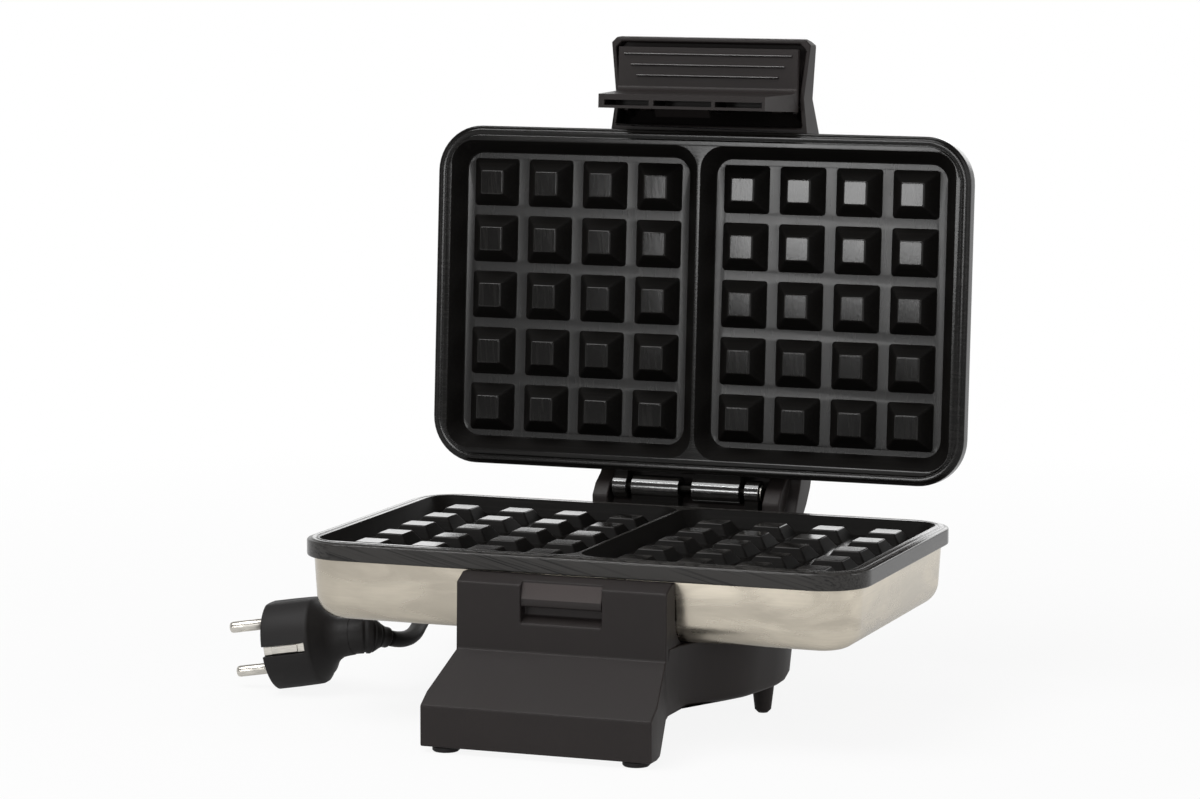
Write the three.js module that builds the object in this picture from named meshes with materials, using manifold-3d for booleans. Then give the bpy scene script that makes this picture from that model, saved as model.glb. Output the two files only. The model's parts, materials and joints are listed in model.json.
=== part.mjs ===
// Belgian waffle maker: two cast waffle plates in pressed steel housings, hinged at the back,
// on a moulded stand, with a sprung latch in the lid's handle. Shown open. Millimetres, +Z up.
//
// The sizes below are measured from the middle of the lower plate's rim: X to the right, Y to
// the back, Z up from the rim's top. The lid's pieces are given as they lie when it is closed,
// and one turned group opens them. Last of all the model is moved so that the object without
// its cord stands on Z = 0, centred on the origin.

import * as THREE from "three";
import { mergeVertices } from "three/addons/utils/BufferGeometryUtils.js";
import Module from "manifold-3d";

const wasm = await Module();
wasm.setup();

// Fits
const seatGap = 0.3; // between pieces that rest on each other
const overrun = 2; // how far a cutter runs past what it cuts
const weldDistance = 1e-4;

// Waffle plates
const plateWidth = 240;
const plateDepth = 146.8;
const plateCorner = 20;
const rimHeight = 7.25;
const rimWidth = 6.45;
const rimChamfer = 0.8;
const rimGap = 1; // between the two rims when the lid is closed
const cavityDepth = 6.72;
const cavityCorner = 10;
const wallRun = 5; // how far a cavity's or a nub's side leans over its height
const dividerWidth = 1.8;
const plateFloor = 3.7;
const blockInset = 8; // the plate's underside, in from the rim's edge
const nubColumns = 4;
const nubRows = 5;
const nubPitchX = 25.03;
const nubPitchY = 24.46;
const nubTop = 9.86;
const lowerNubTop = 11;
const lowerNubDrop = 2; // the lower plate's nubs end below its rim
const plateBossRadius = 4;
const plateBossInsetX = 26;
const plateBossInsetY = 22;

// Steel housings
const housingInset = 3;
const steelWall = 1;
const housingHeight = 25.45;
const housingDraft = 1;
const housingBend = 10;
const lidShellHeight = 23.5;
const lidShellTopInset = 36;

// Hinge
const hingeSetback = 6.95; // axis behind the plates' back edge
const hingeRise = 6.02; // axis above the lower rim
const openAngle = 93.66; // degrees from closed
const hingeOffset = -2.9; // middle of the knuckles from the middle of the plates
const knuckleRadius = 5.2;
const knuckleMiddleGap = 6.1;
const longKnuckle = 21.3;
const knuckleGap = 2.6;
const shortKnuckle = 6;
const lugRoot = 4; // how far a lug reaches into its plate
const pinRadius = 2.4;
const pinClearance = 0.3;
const pinHeadRadius = 3.6;
const pinHeadLength = 1;
const cheekWidth = 7.7;
const cheekGap = 2.1;

// Stand
const floorDrop = 75; // table below the lower rim
const standReach = 35.9; // front block before the plates' front edge
const frontFootHeight = 2.4;
const blockHeight = 16.5;
const blockHalfWidth = 48.5;
const wallStandoff = 7.3;
const wallHalfWidth = 44.45;
const wallTopDrop = 10.9;
const wallTopRise = 3.2; // the sloped top of the front wall
const rampTopDrop = 37.8;
const standBottomDrop = 60;
const standWall = 2.5;
const podHalfWidth = 69.5;
const podHalfLength = 62;
const podCentreBack = 16; // the pod's middle, before the plates' middle
const podDraft = 2;
const podEdge = 4;
const tailHalfWidth = 46;
const tailBack = 88;
const rearWallTopDrop = 17;
const rearWallThickness = 9;
const coverThickness = 2;
const coverLip = 0.6; // the bottom cover's recess
const catchHalfWidth = 17.1;
const catchTopDrop = 10.2;
const notchDepth = 3;
const notchDrop = 16.4;
const pocketTopDrop = 19.6;
const pocketBottomDrop = 26.4;
const pocketDepth = 5.2;

// Feet and legs
const footRadius = 5.5;
const frontFootX = 40;
const frontFootInset = 6.6;
const legTopRadius = 5;
const legTipRadius = 3.4;
const legRounding = 1.4;
const legX = 53;
const legY = 15;
const rearFootX = 30;
const rearFootY = 78;
const screwRadius = 1.6;
const screwHeadRadius = 3;
const screwHeadHeight = 1.4;
const screwLength = 7;
const bossRadius = 3.6;

// Lid band: handle, strip over the lid and hood over the hinge, in one moulding
const bandHalfWidth = 45;
const handleReach = 40; // tip before the plates' front edge
const handleEdgeRise = 12; // handle's lower edge above the lower rim
const bandRise = 35; // band's top above the lower rim
const hoodBack = 96;
const bandWall = 2.4;
const handleRoot = 2.2; // cavity's back wall before the plates' front edge
const handleSideWall = 2.2;
const wedgeWall = 4.4; // hood's right side wall
const hoodCutRadius = 6.9;
const lampRadius = 3.2;
const lampFlange = 1;
const lampFlangeHeight = 0.8;
const lampX = 13;
const lampY = -46;
const lampDome = 1.2;

// Latch lever
const gripRise = 9; // grip plate's lower face above the lower rim
const gripThickness = 2.4;
const gripHalfWidth = 40.4;
const gripTipGap = 2.2; // grip plate's front edge behind the handle's inner wall
const gripInner = 92.4; // where the grip plate bends into the hook
const hookOuter = 87;
const hookInner = 82.3;
const hookHalfWidth = 37.1;
const hookDrop = 24;
const hookBlockHeight = 9;
const hookSlotWall = 1.2;
const hookSlotDepth = 7;
const ribWidth = 0.8;
const ribHeight = 0.5;
const toothHalfWidth = 12;
const toothReach = 3.3;
const toothTopDrop = 20.3;
const toothHeight = 3.4;
const latchPinY = -84.5;
const latchPinRise = 17;
const latchPinRadius = 1.5;
const latchKnuckleRadius = 3.2;
const latchKnuckleX = 30;
const latchKnuckleWidth = 5;
const bracketX = 37.2;
const bracketThickness = 2.2;
const springWireRadius = 0.5;
const springCurls = 5.5;
const springPitch = 1.7;

// Heating and switching
const elementRadius = 3.25;
const elementHalfX = 88;
const elementHalfY = 46;
const elementCorner = 22;
const elementGapShare = 0.22; // open part of the element's back run
const terminalDrop = 9; // the element's ends bend away from the plate
const reflectorThickness = 0.6;
const reflectorInset = 13;
const thermostatRadius = 8;
const thermostatHeight = 7;
const thermostatStemRadius = 1.5;
const thermostatStemHeight = 3;
const fuseRadius = 2;
const fuseLength = 16;
const fuseLeadRadius = 0.6;
const fuseClipWidth = 3;
const terminalWidth = 26;
const terminalDepth = 15;
const terminalHeight = 13;
const terminalWayRadius = 1.9;
const terminalScrewRadius = 1.6;
const terminalPitch = 8;

// Mains cord, plug and gland
const cordRadius = 3.5;
const cordSides = 10;
const cordStep = 15;
const coilMiddleRadius = 38.5;
const coilTurns = 3;
const coilSpacing = 7.7; // between the middles of neighbouring turns and layers
const coilStepsPerTurn = 24;
const coilClimbTurns = 0.5; // part of a turn in which the coil climbs to its next layer
const tieTurns = 0.25; // where the tie holds the coil, in turns from its start
const coilSides = 6;
const tieThickness = 0.8;
const tieWidth = 4;
const glandX = 22;
const glandDrop = 48.5;
const glandLength = 24;
const glandRootRadius = 6;
const glandSeatDepth = 7; // the flat pad inside the tail's back wall
const glandFlangeRadius = 7.6;
const glandFlangeLength = 1.6;
const glandTipRadius = 4.2;
const plugFace = [-155.6, -11.4, -56];
const plugYaw = 185.4; // degrees, the way its pins point
const plugPitch = -9;
const plugFaceRadius = 19.2;
const plugBodyLength = 21.2;
const plugFlat = 18.2; // its flat top and bottom, from its middle
const plugNeckLength = 13.8;
const plugNeckRadius = 8.1;
const plugReliefBend = 13; // radius it bends to, and how far round it goes
const plugReliefTurn = 65;
const plugReliefDroop = 24;
const plugTipRadius = 4.6;
const plugPinRadius = 2.4;
const plugPinLength = 19;
const plugPinSpacing = 19;
const plugPinSeat = 4;
const plugSlotHeight = 4.4;
const plugSlotDepth = 4;
const earthThickness = 1;
const earthWidth = 8;

// Cord routes, centre line, hand placed
const plugRoute = [
  [-109.63, 0.12, -51.8], [-107.84, 4.79, -53.16], [-106.61, 9.63, -54], [-105.97, 14.59, -54.2],
  [-105.92, 19.58, -53.85], [-106.46, 24.55, -53.15], [-107.45, 29.45, -52.25], [-108.46, 34.35, -51.3],
  [-109.89, 41.2, -50], [-112.22, 52.46, -48.4], [-114.56, 63.72, -48], [-116.89, 74.98, -49.2],
  [-119.23, 86.24, -51.8], [-121.56, 97.5, -55.4], [-123.9, 108.77, -59.5],
  [-126.23, 120.03, -63.6], [-127.29, 131.45, -67.2], [-125.71, 142.82, -69.9],
  [-121.58, 153.52, -71.2], [-115.12, 163.01, -71.3], [-106.67, 170.77, -71],
  [-96.67, 176.4, -70.5], [-85.65, 179.6, -70.22], [-77.3, 180.3, -70.2],
];
const glandRoute = [
  [-62.7, 180.3, -62.5], [-59.2, 180.3, -62.5], [-54.73, 180.3, -62.8], [-46.13, 180.3, -64.41],
  [-37.53, 180.15, -66.78], [-29.02, 178.99, -69.19], [-20.73, 176.69, -70.9],
  [-12.84, 173.31, -71.3], [-5.46, 168.89, -70.59], [1.25, 163.53, -68.27], [7.19, 157.31, -64.83],
  [12.23, 150.36, -60.78], [16.3, 142.79, -56.62], [19.31, 134.74, -52.86],
  [21.22, 126.36, -50.01], [21.87, 120.4, -48.83], [21.99, 117.4, -48.55], [22, 114.9, -48.5],
  [22, 112.4, -48.5],
];
const coilCentre = [-70, 136, -70.2];

// Places worked out from the sizes above
const degree = Math.PI / 180;
const halfWidth = plateWidth / 2;
const halfDepth = plateDepth / 2;
const hingeY = halfDepth + hingeSetback;
const blockDepth = cavityDepth + plateFloor;
const housingTop = -rimHeight - seatGap;
const housingBottom = housingTop - housingHeight;
const standTop = housingBottom - seatGap;
const lidShellBottom = rimGap + rimHeight + seatGap;
const lidShellTop = lidShellBottom + lidShellHeight;
const tip = -halfDepth - handleReach;

const colours = {
  plastic: { color: 0x343030, roughness: 0.62, metalness: 0 },
  coating: { color: 0x1d1a18, roughness: 0.34, metalness: 0.35 },
  steel: { color: 0xc9c4ba, roughness: 0.34, metalness: 0.9 },
  nickel: { color: 0xcfcabf, roughness: 0.25, metalness: 1 },
  rubber: { color: 0x1b1a1a, roughness: 0.85, metalness: 0 },
  tube: { color: 0x55524e, roughness: 0.5, metalness: 0.8 },
  foil: { color: 0xd4d5d6, roughness: 0.4, metalness: 0.9 },
  ceramic: { color: 0xe6e0d2, roughness: 0.6, metalness: 0 },
  red: { color: 0xb3201a, roughness: 0.2, metalness: 0 },
  green: { color: 0x2f8f3f, roughness: 0.2, metalness: 0 },
};

// Solids from three.js geometry, for joining and cutting
function solid(geometry) {
  geometry.deleteAttribute("normal");
  geometry.deleteAttribute("uv");
  const merged = mergeVertices(geometry, weldDistance);
  const kept = [];
  for (let i = 0; i < merged.index.count; i += 3) {
    const [a, b, c] = [0, 1, 2].map((k) => merged.index.getX(i + k));
    if (a !== b && b !== c && c !== a) kept.push(a, b, c);
  }
  const mesh = new wasm.Mesh({
    numProp: 3,
    vertProperties: new Float32Array(merged.attributes.position.array),
    triVerts: new Uint32Array(kept),
  });
  mesh.merge();
  return new wasm.Manifold(mesh);
}

function geometryOf(body) {
  const mesh = body.getMesh();
  const geometry = new THREE.BufferGeometry();
  geometry.setAttribute("position", new THREE.BufferAttribute(mesh.vertProperties, mesh.numProp));
  geometry.setIndex(new THREE.BufferAttribute(mesh.triVerts, 1));
  geometry.computeVertexNormals();
  return geometry;
}

function joined(bodies) {
  return bodies.reduce((sum, body) => sum.add(body));
}

function shapeOf(points) {
  return new THREE.Shape(points.map(([u, v]) => new THREE.Vector2(u, v)));
}

// A flat outline pushed up from z0 to z1
function slab(points, z0, z1) {
  const geometry = new THREE.ExtrudeGeometry(shapeOf(points), { depth: z1 - z0, bevelEnabled: false });
  return solid(geometry.translate(0, 0, z0));
}

// A side outline of [y, z] points pushed along X from x0 to x1
function sideSlab(points, x0, x1) {
  const geometry = new THREE.ExtrudeGeometry(shapeOf(points), { depth: x1 - x0, bevelEnabled: false });
  const turn = new THREE.Matrix4().makeBasis(
    new THREE.Vector3(0, 1, 0),
    new THREE.Vector3(0, 0, 1),
    new THREE.Vector3(1, 0, 0),
  );
  return solid(geometry.applyMatrix4(turn).translate(x0, 0, 0));
}

function block(x0, x1, y0, y1, z0, z1) {
  const geometry = new THREE.BoxGeometry(x1 - x0, y1 - y0, z1 - z0);
  return solid(geometry.translate((x0 + x1) / 2, (y0 + y1) / 2, (z0 + z1) / 2));
}

function roundAlongX(radius, x0, x1, y, z, sides = 24) {
  const geometry = new THREE.CylinderGeometry(radius, radius, x1 - x0, sides);
  return solid(geometry.rotateZ(Math.PI / 2).translate((x0 + x1) / 2, y, z));
}

// A turned piece: [radius, z] points about a vertical axis at x, y
function turned(profile, x, y, sides = 24) {
  const points = profile.map(([radius, z]) => new THREE.Vector2(radius, z));
  const geometry = new THREE.LatheGeometry(points, sides);
  return solid(geometry.rotateX(Math.PI / 2).translate(x, y, 0));
}

function post(radius, x, y, z0, z1, sides = 24) {
  return turned([[0, z0], [radius, z0], [radius, z1], [0, z1]], x, y, sides);
}

// A closed skin over outlines stacked in Z, each with as many points
function loft(rings) {
  const count = rings[0].points.length;
  const positions = rings.flatMap(({ points, z }) => points.flatMap(([x, y]) => [x, y, z]));
  const faces = [];
  for (let k = 0; k + 1 < rings.length; k += 1) {
    for (let i = 0; i < count; i += 1) {
      const [a, b] = [k * count + i, k * count + ((i + 1) % count)];
      faces.push(a, b, b + count, a, b + count, a + count);
    }
  }
  const last = (rings.length - 1) * count;
  const flat = (points) => points.map(([x, y]) => new THREE.Vector2(x, y));
  const capOf = (points) => THREE.ShapeUtils.triangulateShape(flat(points), []);
  for (const [a, b, c] of capOf(rings[0].points)) faces.push(a, c, b);
  for (const [a, b, c] of capOf(rings.at(-1).points)) faces.push(last + a, last + b, last + c);
  const geometry = new THREE.BufferGeometry();
  geometry.setAttribute("position", new THREE.Float32BufferAttribute(positions, 3));
  geometry.setIndex(faces);
  return solid(geometry);
}

// A rounded rectangle centred on x, y
function roundedRectangle(halfX, halfY, radius, x = 0, y = 0, steps = 6) {
  const corners = [[1, 1], [-1, 1], [-1, -1], [1, -1]];
  return corners.flatMap(([sideX, sideY], quarter) =>
    Array.from({ length: steps + 1 }, (_, k) => {
      const angle = (quarter + k / steps) * (Math.PI / 2);
      return [
        x + sideX * (halfX - radius) + radius * Math.cos(angle),
        y + sideY * (halfY - radius) + radius * Math.sin(angle),
      ];
    }),
  );
}

function plateOutline(inset, steps = 8) {
  const radius = Math.max(plateCorner - inset, plateCorner / 4);
  return roundedRectangle(halfWidth - inset, halfDepth - inset, radius, 0, 0, steps);
}

// A tube along points, its ends square to the path
function smoothPath(points) {
  const corners = points.map((point) => new THREE.Vector3(...point));
  return new THREE.CatmullRomCurve3(corners, false, "centripetal");
}

function tube(points, radius, sides, step) {
  const path = smoothPath(points);
  const section = Array.from({ length: sides }, (_, k) => {
    const angle = (k / sides) * 2 * Math.PI;
    return [radius * Math.cos(angle), radius * Math.sin(angle)];
  });
  const steps = Math.max(2, Math.round(path.getLength() / step));
  const options = { extrudePath: path, steps, bevelEnabled: false };
  return solid(new THREE.ExtrudeGeometry(shapeOf(section), options));
}

function pathLength(points) {
  return smoothPath(points).getLength();
}

// Plates
function cavityOutline(side, inset) {
  const halfX = (halfWidth - rimWidth - dividerWidth / 2) / 2 - inset;
  const halfY = halfDepth - rimWidth - inset;
  const middle = (side * (halfWidth - rimWidth + dividerWidth / 2)) / 2;
  return roundedRectangle(halfX, halfY, cavityCorner - inset / 2, middle, 0, 4);
}

function nub(x, y, height, top) {
  const run = (wallRun * height) / cavityDepth;
  const square = (half) => roundedRectangle(half, half, half / 6, x, y, 1);
  const foot = -cavityDepth - plateFloor / 4;
  return loft([
    { points: square(top / 2 + run + (wallRun * (-cavityDepth - foot)) / cavityDepth), z: foot },
    { points: square(top / 2), z: height - cavityDepth },
  ]);
}

// One waffle plate, rim up at Z = 0, without its hinge lugs
function wafflePlate(nubDrop, top) {
  let body = loft([
    { points: plateOutline(0), z: -rimHeight },
    { points: plateOutline(0), z: -rimChamfer },
    { points: plateOutline(rimChamfer), z: 0 },
  ]).add(slab(plateOutline(blockInset), -blockDepth, -rimHeight / 2));
  const nubs = [];
  for (const side of [-1, 1]) {
    const slope = (z) => (wallRun * -z) / cavityDepth;
    body = body.subtract(loft([
      { points: cavityOutline(side, slope(-cavityDepth)), z: -cavityDepth },
      { points: cavityOutline(side, slope(overrun)), z: overrun },
    ]));
    const middle = (side * (halfWidth - rimWidth + dividerWidth / 2)) / 2;
    for (let column = 0; column < nubColumns; column += 1) {
      for (let row = 0; row < nubRows; row += 1) {
        const x = middle + (column - (nubColumns - 1) / 2) * nubPitchX;
        const y = (row - (nubRows - 1) / 2) * nubPitchY;
        nubs.push(nub(x, y, cavityDepth - nubDrop, top));
      }
    }
  }
  const bosses = [-1, 1].flatMap((sideX) => [-1, 1].map((sideY) => post(
    plateBossRadius,
    sideX * (halfWidth - plateBossInsetX),
    sideY * (halfDepth - plateBossInsetY),
    reflectorTop,
    -blockDepth + overrun / 2,
    12,
  )));
  return joined([body, ...nubs, ...bosses]);
}

const elementDepth = -blockDepth - seatGap - elementRadius; // element's centre line under a plate
const reflectorTop = elementDepth - elementRadius - seatGap; // where the reflector rests on the bosses

// Knuckles along the hinge: each has the X of its two ends
const knuckleInner = knuckleMiddleGap / 2;
const knuckleOuter = knuckleInner + longKnuckle;
const shortInner = knuckleOuter + knuckleGap;
const shortOuter = shortInner + shortKnuckle;
const cheekInner = shortOuter + cheekGap;
const cheekOuter = cheekInner + cheekWidth;
const lowerKnuckles = [
  [hingeOffset - knuckleOuter, hingeOffset - knuckleInner],
  [hingeOffset + shortInner, hingeOffset + shortOuter],
];
const upperKnuckles = [
  [hingeOffset + knuckleInner, hingeOffset + knuckleOuter],
  [hingeOffset - shortOuter, hingeOffset - shortInner],
];

function withLugs(body, knuckles, web) {
  const lugs = knuckles.map(([x0, x1]) => (
    sideSlab(web, x0, x1).add(roundAlongX(knuckleRadius, x0, x1, hingeY, hingeRise))
  ));
  const bore = roundAlongX(
    pinRadius + pinClearance,
    hingeOffset - shortOuter - overrun,
    hingeOffset + shortOuter + overrun,
    hingeY,
    hingeRise,
    20,
  );
  return joined([body, ...lugs]).subtract(bore);
}

function lowerPlate() {
  const low = -rimHeight + rimChamfer;
  const web = [
    [halfDepth - lugRoot, low],
    [halfDepth + hingeSetback * 0.9, -rimHeight / 2],
    [hingeY + knuckleRadius * 0.88, hingeRise - knuckleRadius * 0.46],
    [hingeY, hingeRise],
    [hingeY - knuckleRadius * 0.98, hingeRise - knuckleRadius * 0.2],
    [halfDepth + rimGap / 2, -rimChamfer],
    [halfDepth - lugRoot, -rimChamfer],
  ];
  return withLugs(wafflePlate(lowerNubDrop, lowerNubTop), lowerKnuckles, web);
}

function upperPlate() {
  const plate = wafflePlate(0, nubTop).rotate([180, 0, 0]).translate([0, 0, rimGap]);
  const web = [
    [halfDepth - lugRoot, rimGap + rimChamfer],
    [halfDepth + rimGap / 2, rimGap + rimChamfer],
    [hingeY, hingeRise - knuckleRadius * 0.9],
    [hingeY, hingeRise + knuckleRadius * 0.9],
    [halfDepth - lugRoot, rimGap + rimHeight - rimChamfer],
  ];
  return withLugs(plate, upperKnuckles, web);
}

// Steel housings, as outlines in from the plate's edge; grow thickens or thins the form
function lowerHousingForm(grow, open) {
  const bendTop = housingBottom + housingBend;
  const bends = 5;
  const rings = [
    { inset: housingInset - grow, z: housingTop + (open ? overrun : 0) },
    { inset: housingInset + housingDraft - grow, z: bendTop },
  ];
  for (let k = 1; k <= bends; k += 1) {
    const angle = (k / bends) * (Math.PI / 2);
    rings.push({
      inset: housingInset + housingDraft + housingBend - (housingBend + grow) * Math.cos(angle),
      z: bendTop - (housingBend + grow) * Math.sin(angle),
    });
  }
  return loft(rings.reverse().map(({ inset, z }) => ({ points: plateOutline(inset), z })));
}

function lowerHousing() {
  return lowerHousingForm(0, false).subtract(lowerHousingForm(-steelWall, true));
}

// Height and inset of the lid shell's steps, as shares of its height and of its top's inset
const lidShellShares = [[0, 0], [0.15, 0.036], [0.49, 0.16], [0.76, 0.33], [0.93, 0.62], [1, 1]];

function lidShellForm(grow, open) {
  const run = lidShellTopInset - housingInset;
  const rings = lidShellShares.map(([up, inward], k) => ({
    points: plateOutline(housingInset + inward * run - (k === 5 ? 0 : grow)),
    z: lidShellBottom + up * lidShellHeight + (k === 0 ? 0 : grow) - (k === 0 && open ? overrun : 0),
  }));
  return loft(rings);
}

function lidShell() {
  return lidShellForm(0, false).subtract(lidShellForm(-steelWall, true));
}

// Stand
const frontY = -halfDepth - standReach;
const wallY = -halfDepth - wallStandoff;
const blockBottom = -floorDrop + frontFootHeight;
const blockTop = blockBottom + blockHeight;
const underside = -standBottomDrop;
const bendBack = -halfDepth + housingInset + housingDraft + housingBend; // where the housing's bottom is flat

// The stand's half width along Y, as shares of the pod's half length and half width
const podShares = [
  [-1, 0.646], [-0.87, 0.655], [-0.75, 0.68], [-0.66, 0.71], [-0.57, 0.76], [-0.47, 0.825], [-0.37, 0.885],
  [-0.27, 0.925], [-0.17, 0.95], [0.05, 0.987], [0.2, 1], [0.34, 0.995], [0.46, 0.972], [0.56, 0.92],
  [0.63, 0.85], [0.68, 0.75],
];

function podOutline(inset) {
  const right = podShares.map(([along, across]) => [
    across * podHalfWidth - inset,
    -podCentreBack + along * podHalfLength + (along > podShares[9][0] ? -inset / 2 : 0),
  ]);
  const tail = [[tailHalfWidth - inset, right.at(-1)[1]], [tailHalfWidth - inset, tailBack - inset]];
  const half = [...right, ...tail];
  return [...half, ...half.map(([x, y]) => [-x, y]).reverse()];
}

function frontPlan(inset) {
  const half = [
    [blockHalfWidth - inset, frontY + inset],
    [blockHalfWidth - inset, frontY + standReach * 0.2],
    [wallHalfWidth - inset, wallY],
    [wallHalfWidth - inset, -halfDepth / 2],
  ];
  return [...half, ...half.map(([x, y]) => [-x, y]).reverse()];
}

function frontSide(inset) {
  return [
    [frontY + inset, blockBottom],
    [frontY + standReach * 0.37, blockBottom],
    [frontY + standReach * 0.42, blockBottom + frontFootHeight / 4],
    [frontY + standReach * 0.8, underside + inset - frontFootHeight / 2],
    [frontY + standReach * 0.88, underside + inset],
    [-halfDepth / 2, underside + inset],
    [-halfDepth / 2, standTop - inset],
    [bendBack, standTop - inset],
    [bendBack, housingBottom + housingBend],
    [wallY + wallStandoff * 1.4, housingBottom + housingBend],
    [wallY + wallStandoff * 1.4, -wallTopDrop + wallTopRise - inset],
    [wallY + wallStandoff * 0.9, -wallTopDrop + wallTopRise - inset],
    [wallY + inset, -wallTopDrop - inset],
    [wallY + inset, -rampTopDrop - inset],
    [frontY + inset, blockTop - inset],
  ];
}

function baseStand() {
  const front = sideSlab(frontSide(0), -blockHalfWidth, blockHalfWidth)
    .intersect(slab(frontPlan(0), blockBottom, 0));
  const pod = loft([
    { points: podOutline(podDraft + podEdge), z: underside },
    { points: podOutline(podDraft + podEdge / 3), z: underside + podEdge / 3 },
    { points: podOutline(podDraft), z: underside + podEdge },
    { points: podOutline(0), z: standTop },
  ]);
  const rearWall = block(
    -wallHalfWidth,
    wallHalfWidth,
    halfDepth - housingInset,
    halfDepth + rearWallThickness,
    underside + podEdge,
    -rearWallTopDrop,
  );
  const hollow = loft([
    { points: podOutline(podDraft + podEdge + standWall), z: underside - overrun },
    { points: podOutline(podDraft + standWall), z: underside + podEdge },
    { points: podOutline(standWall), z: standTop - standWall },
  ]);
  const frontHollow = block(
    -blockHalfWidth + standWall,
    blockHalfWidth - standWall,
    frontY + standWall,
    frontY + standReach * 0.62,
    blockBottom - overrun,
    blockTop - standWall,
  ).intersect(sideSlab([
    [frontY + standWall, blockBottom - overrun],
    [frontY + standReach * 0.3, blockBottom - overrun],
    [frontY + standReach * 0.56, underside],
    [frontY + standReach * 0.56, blockTop - standWall],
    [frontY + standWall, blockTop - standWall],
  ], -blockHalfWidth, blockHalfWidth));
  const footBosses = [-1, 1].map((side) => post(
    footRadius,
    side * frontFootX,
    frontY + frontFootInset,
    blockBottom,
    blockTop - standWall,
  ));
  const coverTop = underside + coverThickness + seatGap;
  const coverSeat = slab(podOutline(podDraft + podEdge + standWall - coverLip), underside - overrun, coverTop);
  const screwBosses = coverScrews.map(([x, y]) => (
    post(bossRadius, x, y, coverTop, standTop - standWall / 2, 16)
      .subtract(post(screwRadius + seatGap, x, y, underside - overrun, underside + screwLength + overrun, 12))
  ));
  const shell = joined([front, pod, rearWall])
    .subtract(hollow)
    .subtract(frontHollow)
    .subtract(coverSeat)
    .subtract(lowerHousingForm(seatGap, true))
    .subtract(catchRecess());
  const glandPad = block(
    glandX - glandFlangeRadius - standWall,
    glandX + glandFlangeRadius + standWall,
    tailBack - glandSeatDepth,
    tailBack - podDraft - podEdge / 2,
    underside + coverThickness + seatGap,
    standTop - standWall / 2,
  );
  return joined([shell, ...footBosses, ...screwBosses, glandPad])
    .subtract(roundBore(glandRootRadius + seatGap, glandX, tailBack, -glandDrop));
}

// Places of the bottom cover's screws
const coverScrews = [[-1, 1], [1, 1], [-1, -1], [1, -1]].map(([sideX, sideY]) => [
  sideX * tailHalfWidth * 0.72,
  sideY > 0 ? tailBack * 0.6 : -podCentreBack - podHalfLength * 0.72,
]);

function roundBore(radius, x, y, z) {
  const geometry = new THREE.CylinderGeometry(radius, radius, 2 * (glandSeatDepth + overrun), 20);
  return solid(geometry.translate(x, y, z));
}

function catchRecess() {
  const notch = [
    [wallY - overrun, -catchTopDrop + overrun],
    [wallY + notchDepth, -catchTopDrop + overrun],
    [wallY + notchDepth, -catchTopDrop],
    [wallY + notchDepth / 4, -notchDrop],
    [wallY + notchDepth / 4, -pocketTopDrop],
    [wallY + pocketDepth, -pocketTopDrop],
    [wallY + pocketDepth, -pocketBottomDrop + notchDepth],
    [wallY, -pocketBottomDrop],
    [wallY - overrun, -pocketBottomDrop],
  ];
  return sideSlab(notch, -catchHalfWidth, catchHalfWidth);
}

function bottomCover() {
  const inset = podDraft + podEdge + standWall - coverLip + seatGap;
  const plate = slab(podOutline(inset), underside, underside + coverThickness);
  const holes = coverScrews.map(([x, y]) => (
    post(screwRadius + seatGap, x, y, underside - overrun, underside + coverThickness + overrun, 12)
  ));
  const sinks = coverScrews.map(([x, y]) => post(
    screwHeadRadius + seatGap,
    x,
    y,
    underside - overrun,
    underside + screwHeadHeight / 2,
    16,
  ));
  return plate.subtract(joined([...holes, ...sinks]));
}

function coverScrew([x, y]) {
  const head = underside + screwHeadHeight / 2 - seatGap;
  return turned([
    [0, head - screwHeadHeight],
    [screwHeadRadius * 0.8, head - screwHeadHeight],
    [screwHeadRadius, head - screwHeadHeight / 2],
    [screwHeadRadius, head],
    [screwRadius, head],
    [screwRadius, underside + screwLength],
    [0, underside + screwLength],
  ], x, y, 16);
}

function leg(side) {
  const top = underside - seatGap;
  return turned([
    [0, -floorDrop],
    [legTipRadius - legRounding, -floorDrop],
    [legTipRadius, -floorDrop + legRounding],
    [legTopRadius, top],
    [0, top],
  ], side * legX, legY, 20);
}

function foot(x, y, top) {
  const edge = frontFootHeight / 4;
  return turned([
    [0, -floorDrop],
    [footRadius - edge, -floorDrop],
    [footRadius, -floorDrop + edge],
    [footRadius, top],
    [0, top],
  ], x, y, 20);
}

// Lid band. Along Y from the handle's tip to the hood's back, and up from the handle's edge to
// the band's top, as shares of those two distances
const bandTopShares = [
  [1, -0.065], [0.998, 0.065], [0.979, 0.278], [0.95, 0.53], [0.919, 0.722], [0.857, 0.935],
  [0.78, 1], [0.35, 1], [0.293, 0.974], [0.207, 0.817], [0.121, 0.565], [0.014, 0.361],
  [0.003, 0.29], [0, 0.19], [0.002, 0],
];
const hoodUnderShares = [[0.885, 0.15], [0.914, 0.065], [0.973, -0.204], [0.993, -0.174]];
const cheekShares = [
  [0.895, 0.26], [0.88, 0.1], [0.9, -0.06], [0.92, -0.33], [0.945, -0.49], [0.97, -0.46],
  [0.985, -0.2], [0.96, 0.2],
];
const bandPlanShares = [[0, 0.94], [0.013, 1], [0.121, 0.945], [0.19, 0.985], [0.26, 1], [1, 1]];

function bandPoint([along, up]) {
  return [tip + along * (hoodBack - tip), handleEdgeRise + up * (bandRise - handleEdgeRise)];
}

function bandPlan(inset) {
  const half = bandPlanShares.map(([along, across], k) => [
    across * bandHalfWidth - inset,
    tip + along * (hoodBack - tip) + (k < 2 ? inset : 0),
  ]);
  return [...half, ...half.map(([x, y]) => [-x, y]).reverse()];
}

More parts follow.
